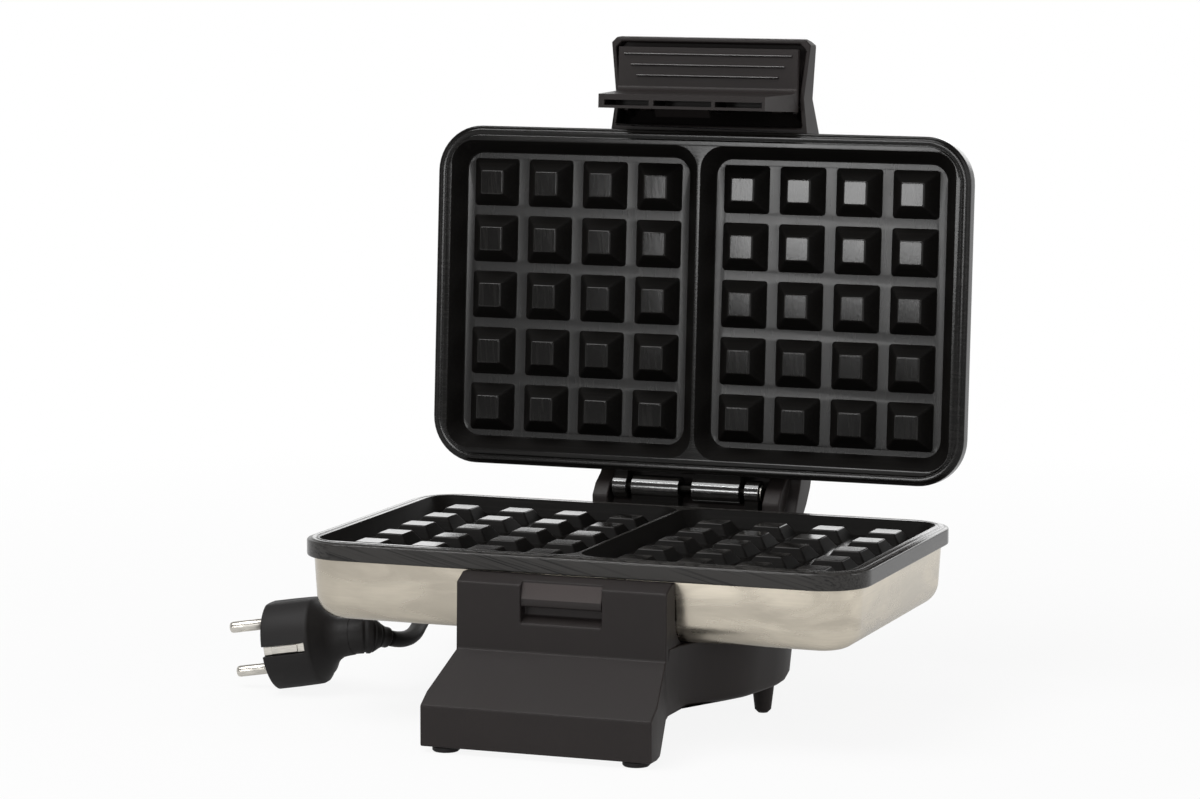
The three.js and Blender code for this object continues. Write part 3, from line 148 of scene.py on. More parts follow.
# Each lamp's name, place, target, width, height and power
LAMPS = (
    ("Overhead softbox", (-0.3, -0.45, 1.4), (0, -0.05, 0.1), 1.2, 0.9, 15.0),
    ("Edge strip", (-0.5, -0.75, 1.25), (0, 0, 0.1), 0.9, 0.05, 4.2),
    ("Front window", (-0.43, -1.5, 0.355), (-0.43, 0, 0.355), 0.25, 0.27, 4.0),
    ("Front fill", (0.9, -2.2, 0.7), (0, 0, 0.1), 1.6, 1.0, 10.0),
    ("Right softbox", (1.5, 0.15, 0.55), (0, 0, 0.1), 0.7, 0.8, 6.0),
    ("Rear strip", (-0.2, 1.5, 0.5), (0, 0, 0.1), 1.2, 0.4, 3.0),
)


def length(name, description, default):
    return FloatProperty(
        name=name, description=description, default=default, unit="LENGTH", precision=5
    )


def colour(name, description, default):
    return FloatVectorProperty(
        name=name, description=description, default=default, subtype="COLOR", size=3, min=0, max=1
    )


class WaffleMakerSizes(bpy.types.PropertyGroup):
    plate_width: length("Plate width", "Width of each waffle plate", 0.24)
    plate_depth: length("Plate depth", "Depth of each waffle plate", 0.1468)
    plate_corner: length("Plate corner", "Radius of the plates' corners in plan", 0.02)
    rim_height: length("Rim height", "Height of a plate's outer rim", 0.00725)
    rim_width: length("Rim width", "From a plate's edge to its waffle fields", 0.00645)
    field_depth: length("Field depth", "Depth of a waffle field below the rim", 0.00672)
    wall_run: length("Wall run", "How far a field's wall leans over its depth", 0.005)
    divider: length("Divider", "Width of the ridge between the two fields", 0.0018)
    nub_pitch_x: length("Nub pitch across", "Spacing of the nubs from left to right", 0.02503)
    nub_pitch_y: length("Nub pitch along", "Spacing of the nubs from front to back", 0.02446)
    lower_nub_top: length("Lower nub top", "Width of a lower nub's flat top", 0.0109)
    upper_nub_top: length("Upper nub top", "Width of an upper nub's flat top", 0.0098)
    lower_nub_drop: length("Lower nub drop", "How far the lower nubs end below the rim", 0.002)
    nub_columns: IntProperty(
        name="Nub columns", description="Nubs across one field", default=4, min=1
    )
    nub_rows: IntProperty(name="Nub rows", description="Nubs along one field", default=5, min=1)
    steel_bend: length("Steel bend", "Radius of the lower housing's bottom edge", 0.01)
    steel_wall: length("Steel wall", "Thickness of the pressed housings", 0.001)
    cord_diameter: length("Cord diameter", "Diameter of the mains lead", 0.007)
    pin_diameter: length("Pin diameter", "Diameter of the plug's pins", 0.0048)
    edge_radius: length("Edge radius", "Rounding of the moulded pieces' edges", 0.0007)


class WaffleMakerColours(bpy.types.PropertyGroup):
    plastic: colour("Plastic", "Moulded black plastic", (0.0142, 0.0114, 0.0109))
    coating: colour("Coating", "Non-stick coating of the plates", (0.0042, 0.0038, 0.0035))
    # Paler coating for cutter marks and edges; on the edges it is partly wear and partly painted
    # highlight.
    coating_wear_and_sheen: colour("Rubbed and lit coating", "Coating rubbed at the edges", (0.055, 0.052, 0.049))
    steel: colour("Steel", "Brushed steel housings", (0.56, 0.51, 0.425))
    nickel: colour("Nickel", "Nickel plated pins and screws", (0.612, 0.5865, 0.5355))
    rubber: colour("Rubber", "Lead, plug and feet", (0.0115, 0.0105, 0.0105))
    element: colour("Element", "Heat darkened tube", (0.1, 0.085, 0.075))
    foil: colour("Reflector", "Rolled sheet under the elements", (0.7, 0.71, 0.72))
    ceramic: colour("Ceramic", "Heat-proof insulators", (0.72, 0.69, 0.6))
    # Near-black pin: painted shade, as dark as the gaps between the barrels.
    pin_painted_shade: colour("Hinge pin", "Painted shade pin steel of the hinge pin", (0.008, 0.0075, 0.007))
    power_lens: colour("Power lamp", "Lens of the power lamp", (0.45, 0.012, 0.008))
    ready_lens: colour("Ready lamp", "Lens of the ready lamp", (0.02, 0.26, 0.05))
    floor: colour("Floor", "Pale floor under the object", (0.62, 0.62, 0.62))


def sizes():
    return bpy.context.scene.waffle_sizes


def colours():
    return bpy.context.scene.waffle_colours


# Outlines and meshes


def eased(share):
    """A share held between 0 and 1, slowed at both ends."""
    share = min(max(share, 0.0), 1.0)
    return share * share * (3 - 2 * share)


def arc(middle, radius, start, stop, steps):
    """Points on a circle from one angle in degrees to another, both ends included."""
    angles = [math.radians(start + (stop - start) * k / steps) for k in range(steps + 1)]
    return [(middle[0] + radius * math.cos(a), middle[1] + radius * math.sin(a)) for a in angles]


def circle(middle, radius, sides):
    return arc(middle, radius, 0, 360, sides)[:-1]


def rounded(half_x, half_y, radius, steps=8, x=0.0, y=0.0):
    """A rounded rectangle as points, anticlockwise."""
    points = []
    for quarter, (side_x, side_y) in enumerate(((1, 1), (-1, 1), (-1, -1), (1, -1))):
        corner = (x + side_x * (half_x - radius), y + side_y * (half_y - radius))
        points += arc(corner, radius, 90 * quarter, 90 * (quarter + 1), steps)
    return points


def plate_outline(inset, steps=12):
    size = sizes()
    radius = max(size.plate_corner - inset, size.plate_corner / 4)
    return rounded(size.plate_width / 2 - inset, size.plate_depth / 2 - inset, radius, steps)


def ring_of(bm, points, z):
    return [bm.verts.new((x, y, z)) for x, y in points]


def plate_rings(bm, places):
    """Rings of the plates' outline from (inset, z) pairs."""
    return [ring_of(bm, plate_outline(inset), z) for inset, z in places]


def skin(bm, rings, kind=0):
    """Faces of one material index between rings of equal counts."""
    for lower, upper in zip(rings, rings[1:]):
        count = len(lower)
        for i in range(count):
            j = (i + 1) % count
            bm.faces.new((lower[i], lower[j], upper[j], upper[i])).material_index = kind


def capped(bm, rings):
    """Faces between rings and over both ends."""
    skin(bm, rings)
    bm.faces.new(rings[0][::-1])
    bm.faces.new(rings[-1])


def fill(bm, *loops, kind=0):
    """Flat triangles inside the first loop and outside the others."""
    verts = [vert for loop in loops for vert in loop]
    for corners in tessellate_polygon([[vert.co for vert in loop] for loop in loops]):
        bm.faces.new([verts[i] for i in corners]).material_index = kind


def turned(profile, sides=32):
    """A body turned about the Z axis from (radius, z) points, its ends closed."""
    bm = bmesh.new()
    capped(bm, [ring_of(bm, circle((0, 0), radius, sides), z) for radius, z in profile])
    return bm


def pushed(outline, low, high, holes=(), kind=0):
    """A side outline of (y, z) points pushed along X from low to high, with holes through it."""
    bm = bmesh.new()
    ends = []
    for x in (low, high):
        ends.append([[bm.verts.new((x, y, z)) for y, z in loop] for loop in (outline, *holes)])
        fill(bm, *ends[-1], kind=kind)
    for first, last in zip(*ends):
        skin(bm, [first, last], kind)
    return bm


def box_body(low, high):
    bm = bmesh.new()
    corners = [
        bm.verts.new((x, y, z))
        for x in (low[0], high[0]) for y in (low[1], high[1]) for z in (low[2], high[2])
    ]
    for face in ("0132", "4675", "0451", "2376", "0264", "1573"):
        bm.faces.new([corners[int(i)] for i in face])
    return bm


def smooth_path(points, step):
    """Evenly spaced points on a centripetal curve through the given ones."""
    points = [Vector(point) for point in points]
    ends = [2 * points[0] - points[1], 2 * points[-1] - points[-2]]
    line = [ends[0], *points, ends[1]]
    out = [points[0]]
    for a, b, c, d in zip(line, line[1:], line[2:], line[3:]):
        t = [0.0]
        for p, q in ((a, b), (b, c), (c, d)):
            t.append(t[-1] + math.sqrt((q - p).length))
        pieces = max(1, round((c - b).length / step))
        for k in range(1, pieces + 1):
            u = t[1] + (t[2] - t[1]) * k / pieces
            ab = a.lerp(b, u / t[1])
            bc = b.lerp(c, (u - t[1]) / (t[2] - t[1]))
            cd = c.lerp(d, (u - t[2]) / (t[3] - t[2]))
            abc = ab.lerp(bc, u / t[2])
            bcd = bc.lerp(cd, (u - t[1]) / (t[3] - t[1]))
            out.append(abc.lerp(bcd, (u - t[1]) / (t[2] - t[1])))
    return out


def swept(path, radius, sides=16):
    """A round body along a path that never runs straight up; radius is a number or one a point."""
    bm = bmesh.new()
    up = Vector((0, 0, 1))
    rings = []
    for k, point in enumerate(path):
        ahead = (path[min(k + 1, len(path) - 1)] - path[max(k - 1, 0)]).normalized()
        across = ahead.cross(up).normalized()
        above = across.cross(ahead)
        size = radius if isinstance(radius, float) else radius[k]
        rings.append([
            bm.verts.new(point + x * across + y * above) for x, y in circle((0, 0), size, sides)
        ])
    capped(bm, rings)
    return bm


def joined(*parts):
    """Several bodies in one mesh."""
    whole = bmesh.new()
    for part in parts:
        mesh = bpy.data.meshes.new("part")
        part.to_mesh(mesh)
        part.free()
        whole.from_mesh(mesh)
        bpy.data.meshes.remove(mesh)
    return whole


def moved(bm, matrix):
    bmesh.ops.transform(bm, matrix=matrix, verts=bm.verts)
    return bm


def to_rim(bm, lid=False):
    """From the middle of the lower plate's rim to the object's own place, opened for the lid."""
    move = Matrix.Translation(RIM)
    return moved(bm, OPENED @ move if lid else move)


# Pieces


def new_object(name, bm):
    """An object in the scene with a built mesh, which it uses up."""
    mesh = bpy.data.meshes.new(name)
    bm.to_mesh(mesh)
    bm.free()
    made = bpy.data.objects.new(name, mesh)
    bpy.context.scene.collection.objects.link(made)
    return made


def drop_shading(piece):
    for item in [m for m in piece.modifiers if m.type == "WEIGHTED_NORMAL"]:
        piece.modifiers.remove(item)


def even_shading(piece):
    """Evens the shading after all the other modifiers."""
    drop_shading(piece)
    piece.modifiers.new("Even shading", "WEIGHTED_NORMAL").weight = SHADING_WEIGHT


def add_bevel(piece, width, segments, angle=None):
    """Rounds the edges sharper than an angle, or without one those with a bevel weight."""
    bevel = piece.modifiers.new("Rounded edges", "BEVEL")
    bevel.width = width
    bevel.segments = segments
    bevel.limit_method = "WEIGHT" if angle is None else "ANGLE"
    if angle is not None:
        bevel.angle_limit = math.radians(angle)
    bevel.use_clamp_overlap = angle is not None
    bevel.miter_outer = "MITER_ARC"
    even_shading(piece)


def add_piece(name, bm, material, body, replaced=(), bevel=0.0, segments=3, angle=32):
    """A smooth shaded object of a mesh, riding on a body in place of the given nodes.

    The material is one material, or one for each material index of the mesh.
    """
    bmesh.ops.recalc_face_normals(bm, faces=bm.faces)
    piece = new_object(name, bm)
    piece.data.shade_smooth()
    for look in material if isinstance(material, tuple) else (material,):
        piece.data.materials.append(look)
    even_shading(piece)
    if bevel:
        add_bevel(piece, bevel, segments, angle)
    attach(piece, body)
    if replaced:
        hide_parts(*replaced)
    return piece


def cut_away(piece, body):
    """Cuts a body from a piece's mesh for good."""
    bmesh.ops.recalc_face_normals(body, faces=body.faces)
    cutter = new_object("cutter", body)
    drop_shading(piece)
    modifier = piece.modifiers.new("Cut", "BOOLEAN")
    modifier.operation = "DIFFERENCE"
    modifier.object = cutter
    modifier.solver = "EXACT"
    graph = bpy.context.evaluated_depsgraph_get()
    graph.update()
    mesh = bpy.data.meshes.new_from_object(piece.evaluated_get(graph))
    piece.modifiers.remove(modifier)
    old = piece.data
    piece.data = mesh
    bpy.data.meshes.remove(old)
    mesh.name = piece.name
    bpy.data.objects.remove(cutter)


def add_bodies(piece, *parts):
    """Adds further closed bodies to a piece's mesh."""
    bm = bmesh.new()
    bm.from_mesh(piece.data)
    whole = joined(bm, *parts)
    bmesh.ops.recalc_face_normals(whole, faces=whole.faces)
    whole.to_mesh(piece.data)
    whole.free()
    piece.data.shade_smooth()


def weigh_edges(bm, width, angle):
    """Gives each sharp edge a bevel weight that keeps its rounding within the faces beside it."""
    layer = bm.edges.layers.float.new("bevel_weight_edge")
    for edge in bm.edges:
        if len(edge.link_faces) != 2 or edge.calc_face_angle(0) < math.radians(angle):
            continue
        room = width
        for vert in edge.verts:
            along = (edge.other_vert(vert).co - vert.co).normalized()
            for beside in vert.link_edges:
                reach = beside.other_vert(vert).co - vert.co
                across = (reach - along * reach.dot(along)).length
                if beside is not edge and across > reach.length * LEAST_SLANT:
                    room = min(room, ROOM_SHARE * across)
        edge[layer] = room / width


def body_of(name):
    for body, members in frame["record"]["behaviour"]["bodies"].items():
        if name in members:
            return body
    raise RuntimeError(f"no body holds {name}")


def refined(node_name, name, material, bevel, segments=3, angle=32):
    """A piece of a node's own form with its flat faces made whole and its edges rounded."""
    bm = bmesh.new()
    bm.from_mesh(frame["nodes"][node_name].data)
    bmesh.ops.remove_doubles(bm, verts=bm.verts, dist=SAME_PLACE)
    make_whole(bm, 1.2)
    weigh_edges(bm, bevel, angle)
    piece = add_piece(name, bm, material, body_of(node_name), (node_name,))
    add_bevel(piece, bevel, segments)
    return piece


def make_whole(bm, angle):
    """Joins the faces that lie in one plane, to an angle in degrees."""
    bmesh.ops.dissolve_limit(
        bm, angle_limit=math.radians(angle), use_dissolve_boundaries=False,
        verts=bm.verts, edges=bm.edges,
    )


# Nodes


def feed(tree, target, inputs):
    """Sets a node's inputs, or links them where a socket is given."""
    for label, value in inputs.items():
        socket = target.inputs[label]
        if isinstance(value, bpy.types.NodeSocket):
            tree.links.new(value, socket)
        else:
            socket.default_value = value


def node(tree, kind, inputs=None, **settings):
    made = tree.nodes.new(kind)
    for name, value in settings.items():
        setattr(made, name, value)
    feed(tree, made, inputs or {})
    return made


def place_of(tree):
    return node(tree, "ShaderNodeTexCoord").outputs["Object"]


def calculated(tree, operation, *values):
    inputs = dict(enumerate(values))
    return node(tree, "ShaderNodeMath", inputs, operation=operation).outputs[0]


def remapped(tree, value, low, high, to_low=0.0, to_high=1.0):
    """A value spread from one range to another and held within it."""
    return node(tree, "ShaderNodeMapRange", {
        "Value": value, "From Min": low, "From Max": high, "To Min": to_low, "To Max": to_high,
    }).outputs["Result"]


def noise(tree, place, scale, detail, roughness=0.5, distortion=0.0):
    return node(tree, "ShaderNodeTexNoise", {
        "Vector": place, "Scale": scale, "Detail": detail,
        "Roughness": roughness, "Distortion": distortion,
    }).outputs["Fac"]


def mix_colours(tree, factor, first, second):
    mix = node(tree, "ShaderNodeMix", {"Factor": factor}, data_type="RGBA")
    for label, value in (("A", first), ("B", second)):
        socket = next(s for s in mix.inputs if s.name == label and s.type == "RGBA")
        if isinstance(value, bpy.types.NodeSocket):
            tree.links.new(value, socket)
        else:
            socket.default_value = (*value, 1)
    return next(s for s in mix.outputs if s.type == "RGBA")


def bump(tree, height, strength):
    inputs = {"Height": height, "Strength": strength, "Distance": BUMP_DEPTH}
    return node(tree, "ShaderNodeBump", inputs).outputs["Normal"]


def new_group(name, inputs, outputs):
    """An empty shader node group, its input sockets and its output node."""
    kinds = {float: "NodeSocketFloat", tuple: "NodeSocketVector"}
    group = bpy.data.node_groups.new(name, "ShaderNodeTree")
    for label, default in inputs.items():
        socket = group.interface.new_socket(
            name=label, in_out="INPUT", socket_type=kinds[type(default)]
        )
        socket.default_value = default
    for label in outputs:
        group.interface.new_socket(name=label, in_out="OUTPUT", socket_type="NodeSocketFloat")
    return group, group.nodes.new("NodeGroupInput").outputs, group.nodes.new("NodeGroupOutput")


def moulded_grain_group():
    """Fine stipple of a moulded surface, with slow change in its gloss."""
    group, entry, leave = new_group(
        "Moulded grain", {"Grain size": 1200.0, "Gloss change": 0.12, "Roughness": 0.5},
        ("Height", "Roughness", "Tone"),
    )
    place = place_of(group)
    slow = noise(group, place, scale=38.0, detail=4.0, roughness=0.55)
    centred = calculated(group, "SUBTRACT", slow, 0.5)
    feed(group, leave, {
        "Height": noise(group, place, entry["Grain size"], detail=3.0, roughness=0.6),
        "Roughness": calculated(
            group, "MULTIPLY_ADD", centred, entry["Gloss change"], entry["Roughness"]
        ),
        "Tone": slow,
    })
    return group


def brushed_lines_group():
    """Long fine scratches along one direction, as of a brush or a milling cutter."""
    group, entry, leave = new_group(
        "Brushed lines", {
            "Streak size": (0.15, 0.0011, 0.0011), "Turn": (0.0, 0.0, 0.0), "Low": 0.34,
            "High": 0.66,
        }, ("Height", "Lines", "Clouds"),
    )
    place = place_of(group)
    stretched = node(group, "ShaderNodeMapping", {
        "Vector": place, "Scale": entry["Streak size"], "Rotation": entry["Turn"],
    }, vector_type="TEXTURE").outputs["Vector"]
    lines = noise(group, stretched, scale=1.0, detail=2.0, roughness=0.55)
    feed(group, leave, {
        "Height": lines,
        "Lines": remapped(group, lines, entry["Low"], entry["High"]),
        "Clouds": noise(group, place, scale=14.0, detail=2.0),
    })
    return group


def rubbed_and_lit_edges_group():
    """A mask of the raised edges, broken up where hands and cloths miss them: partly wear, partly
    painted highlight.
    """
    group, entry, leave = new_group(
        "Rubbed and lit edges", {"Start": 0.52, "Full": 0.6, "Breaks": 420.0}, ("Mask",)
    )
    raised = node(group, "ShaderNodeNewGeometry").outputs["Pointiness"]
    edge = remapped(group, raised, entry["Start"], entry["Full"])
    breaks = noise(group, place_of(group), entry["Breaks"], detail=3.0)
    feed(group, leave, {"Mask": calculated(group, "MULTIPLY", edge, breaks)})
    return group


GROUPS = {
    "Moulded grain": moulded_grain_group,
    "Brushed lines": brushed_lines_group,
    "Rubbed and lit edges": rubbed_and_lit_edges_group,
}


def placed_group(tree, name, **values):
    """The outputs of a shared group, made when it is first used."""
    group = bpy.data.node_groups.get(name) or GROUPS[name]()
    inputs = {label.replace("_", " "): value for label, value in values.items()}
    return node(tree, "ShaderNodeGroup", inputs, node_tree=group).outputs


# Finishes


def new_material(name, **constants):
    """A material of one Principled shader, its plain values set on the shader itself."""
    material = bpy.data.materials.new(name)
    material.use_nodes = True
    tree = material.node_tree
    shader = tree.nodes["Principled BSDF"]
    feed(tree, shader, {label.replace("_", " "): value for label, value in constants.items()})
    return material, tree, shader


def scaled(colour_value, factor):
    return tuple(min(1.0, channel * factor) for channel in colour_value)


def moulded_material(name, base, roughness, grain=1300.0, strength=0.25, specular=0.4, edges=0.5):
    """Moulded plastic or rubber: stippled, a little uneven in gloss, paler along its edges, partly
    as wear and partly as painted highlight.
    """
    material, tree, shader = new_material(name, IOR=PLASTIC_IOR, Specular_IOR_Level=specular)
    stipple = placed_group(
        tree, "Moulded grain", Grain_size=grain, Gloss_change=0.16, Roughness=roughness
    )
    # Paler edges: partly wear, partly painted highlight.
    rubbed_and_lit = placed_group(tree, "Rubbed and lit edges", Start=0.53, Full=0.66)
    amount = calculated(tree, "MULTIPLY", rubbed_and_lit["Mask"], edges)
    dark, light, worn_lit_edge = (scaled(base, tone) for tone in MOULDED_TONES)
    body = mix_colours(tree, stipple["Tone"], dark, light)
    feed(tree, shader, {
        "Base Color": mix_colours(tree, amount, body, worn_lit_edge),
        "Roughness": stipple["Roughness"],
        "Normal": bump(tree, stipple["Height"], strength),
    })
    return material


def coating_material(name, roughness, streak, turn, lines, low=0.5, specular=0.26, rub=1.0):
    """Dark non-stick coating on a casting, with cutter marks and paler edges, partly rubbed and
    partly painted highlight.
    """
    base, wear_and_sheen = tuple(colours().coating), tuple(colours().coating_wear_and_sheen)
    material, tree, shader = new_material(name, IOR=PLASTIC_IOR, Specular_IOR_Level=specular)
    grain = placed_group(
        tree, "Moulded grain", Grain_size=700.0, Gloss_change=0.1, Roughness=roughness
    )
    turn = tuple(math.radians(angle) for angle in turn)
    cut = placed_group(
        tree, "Brushed lines", Streak_size=streak, Turn=turn, Low=low, High=low + 0.22
    )
    # Paler edges: partly wear, partly painted highlight.
    rubbed_and_lit = placed_group(tree, "Rubbed and lit edges", Start=0.515, Full=0.62, Breaks=260.0)
    marked = mix_colours(tree, calculated(tree, "MULTIPLY", cut["Lines"], lines), base, wear_and_sheen)
    worn_lit_edge = calculated(tree, "MULTIPLY", rubbed_and_lit["Mask"], rub)
    height = calculated(tree, "MULTIPLY_ADD", cut["Height"], 0.5, grain["Height"])
    feed(tree, shader, {
        "Base Color": mix_colours(tree, worn_lit_edge, marked, wear_and_sheen),
        "Roughness": grain["Roughness"],
        "Normal": bump(tree, height, 0.12),
    })
    return material


def metal_material(name, base, roughness, streak, change=0.1, strength=0.12):
    """Brushed or drawn metal: fine lines in its colour, gloss and surface."""
    material, tree, shader = new_material(name, Metallic=1.0)
    cut = placed_group(tree, "Brushed lines", Streak_size=streak)
    feed(tree, shader, {
        "Base Color": mix_colours(tree, cut["Lines"], scaled(base, 0.86), scaled(base, 1.1)),
        "Roughness": calculated(tree, "MULTIPLY_ADD", cut["Clouds"], change, roughness),
        "Normal": bump(tree, cut["Height"], strength),
    })
    return material


def steel_material(base):
    """Satin steel: blotched in tone and gloss, darker to the left by painted shade, with very fine
    lines.
    """
    material, tree, shader = new_material("Brushed steel", Metallic=1.0)
    cut = placed_group(tree, "Brushed lines", Streak_size=(0.07, 0.07, 0.0004))
    place = place_of(tree)
    lying = node(tree, "ShaderNodeMapping", {"Vector": place, "Scale": (0.75, 0.75, 2.6)})
    patches = noise(
        tree, lying.outputs["Vector"], scale=26.0, detail=4.0, roughness=0.58, distortion=0.7
    )
    tone = remapped(tree, patches, 0.38, 0.62)
    cloudy = mix_colours(tree, tone, scaled(base, 0.84), scaled(base, 1.16))
    across = node(tree, "ShaderNodeSeparateXYZ", {0: place}).outputs["X"]
    # Painted shade: the colour darkens towards the left side.
    left_painted_shade = remapped(tree, across, -0.11, -0.02, to_low=0.38, to_high=0.0)
    cloudy = mix_colours(tree, left_painted_shade, cloudy, scaled(base, 0.55))
    fine = calculated(tree, "MULTIPLY", cut["Lines"], 0.2)
    feed(tree, shader, {
        "Base Color": mix_colours(tree, fine, cloudy, scaled(base, 0.75)),
        "Roughness": calculated(tree, "MULTIPLY_ADD", tone, 0.16, 0.2),
        "Normal": bump(tree, cut["Height"], 0.05),
    })
    return material


def shared(name, make, *values, **settings):
    """The material of a name, made when it is first used."""
    return bpy.data.materials.get(name) or make(name, *values, **settings)


def plastic():
    return shared("Black moulding", moulded_material, colours().plastic, 0.5, specular=0.2)


# A darker copy of the black moulding: painted shade in the handle's hollow and on the latch's
# tooth.
def painted_shade_moulding():
    return shared(
        "Unpolished moulding", moulded_material, scaled(colours().plastic, 0.35), 0.8,
        strength=0.1, specular=0.05, edges=0.0,
    )


def rubber():
    return shared(
        "Black rubber", moulded_material, colours().rubber, 0.55,
        grain=2200.0, strength=0.18, specular=0.2, edges=0.3,
    )


def nickel():
    streak = (0.03, 0.0004, 0.0004)
    return shared(
        "Nickel plate", metal_material, colours().nickel, 0.24, streak, change=0.08, strength=0.01
    )


def finish_node(name, material):
    """Gives a node that keeps its own form its finish."""
    item = frame["nodes"][name]
    item.data.materials.clear()
    item.data.materials.append(material)
    for slot in item.material_slots:
        slot.material = material


# Operators


class WAFFLE_OT_stage(bpy.types.Operator):
    """Camera, floor, background and lamps"""

    bl_idname = "waffle.stage"
    bl_label = "Stage"

    def execute(self, context):
        scene = context.scene
        scene.view_settings.view_transform = "Standard"
        self.add_camera(scene)
        self.add_floor()
        self.add_world(scene)
        for lamp in LAMPS:
            self.add_lamp(scene, *lamp)
        return {"FINISHED"}

    def add_camera(self, scene):
        data = bpy.data.cameras.new("Camera")
        data.sensor_width = 36
        data.lens = CAMERA_LENS
        data.clip_end = 50
        camera = bpy.data.objects.new("Camera", data)
        yaw, pitch, roll = (math.radians(angle) for angle in CAMERA_TURNS)
        camera.matrix_world = (
            Matrix.Translation(RIM + CAMERA_PLACE)
            @ Matrix.Rotation(yaw, 4, "Z")
            @ Matrix.Rotation(math.pi / 2 - pitch, 4, "X")
            @ Matrix.Rotation(roll, 4, "Z")
        )
        scene.collection.objects.link(camera)
        scene.camera = camera

    def add_floor(self):
        bm = bmesh.new()
        bm.faces.new(ring_of(bm, FLOOR_CORNERS, 0))
        floor = new_object("Floor", bm)
        material = bpy.data.materials.new("Pale floor")
        material.use_nodes = True
        tree = material.node_tree
        tree.nodes.clear()
        plain = node(tree, "ShaderNodeBsdfDiffuse", {"Color": (*colours().floor, 1)})
        glow = node(tree, "ShaderNodeEmission", {"Color": WHITE, "Strength": 1.0})
        reach = node(tree, "ShaderNodeVectorMath", {0: place_of(tree)}, operation="LENGTH")
        rays = node(tree, "ShaderNodeLightPath").outputs
        share = 0.0
        for label, near, far, least in FLOOR_FADES:
            fade = remapped(tree, reach.outputs["Value"], near, far, least, 1.0)
            share = calculated(tree, "MULTIPLY_ADD", rays[label], fade, share)
        parts = {0: share, 1: plain.outputs[0], 2: glow.outputs[0]}
        mix = node(tree, "ShaderNodeMixShader", parts)
        node(tree, "ShaderNodeOutputMaterial", {"Surface": mix.outputs[0]})
        floor.data.materials.append(material)

    def seen_directly(self, tree):
        """1 for the rays that show the background: to the camera, in gloss and through glass."""
        rays = node(tree, "ShaderNodeLightPath").outputs
        total = rays["Is Camera Ray"]
        for label in ("Is Glossy Ray", "Is Transmission Ray"):
            total = calculated(tree, "MAXIMUM", total, rays[label])
        return total

    def add_world(self, scene):
        """White behind the object, darker overhead and in front, and plain soft light elsewhere."""
        world = bpy.data.worlds.new("Studio")
        world.use_nodes = True
        tree = world.node_tree
        place = node(tree, "ShaderNodeTexCoord").outputs["Generated"]
        parts = node(tree, "ShaderNodeSeparateXYZ", {0: place}).outputs
        height = remapped(tree, parts["Z"], 0.3, 0.62, to_low=1.0, to_high=0.25)
        depth = remapped(tree, parts["Y"], -0.7, -0.2, to_low=0.32, to_high=1.0)
        seen = calculated(tree, "MULTIPLY", height, depth)
        change = calculated(tree, "SUBTRACT", seen, PLAIN_LIGHT)
        strength = calculated(
            tree, "MULTIPLY_ADD", self.seen_directly(tree), change, PLAIN_LIGHT
        )
        feed(tree, tree.nodes["Background"], {"Color": WHITE, "Strength": strength})
        scene.world = world

    def add_lamp(self, scene, name, place, target, width, height, power):
        data = bpy.data.lights.new(name, "AREA")
        data.shape = "RECTANGLE"
        data.size = width
        data.size_y = height
        data.energy = power
        lamp = bpy.data.objects.new(name, data)
        lamp.location = place
        aim = Vector(target) - Vector(place)
        lamp.rotation_euler = aim.to_track_quat("-Z", "Y").to_euler()
        scene.collection.objects.link(lamp)


def coil_points():
    """The coil's centre line in millimetres from the rim's middle."""
    middle = COIL_TURNS / 2
    points = []
    steps = COIL_STEPS * COIL_TURNS
    for k in range(steps + 1):
        turn = COIL_TURNS * k / steps
        radius = COIL_RADIUS + COIL_SPACING * (abs(turn - middle) - middle / 2)
        climb = eased((turn - middle) / COIL_CLIMB + 0.5)
        angle = math.pi / 2 - 2 * math.pi * turn
        points.append((
            COIL_CENTRE[0] + radius * math.cos(angle),
            COIL_CENTRE[1] + radius * math.sin(angle),
            COIL_CENTRE[2] + climb * COIL_SPACING,
        ))
    return points


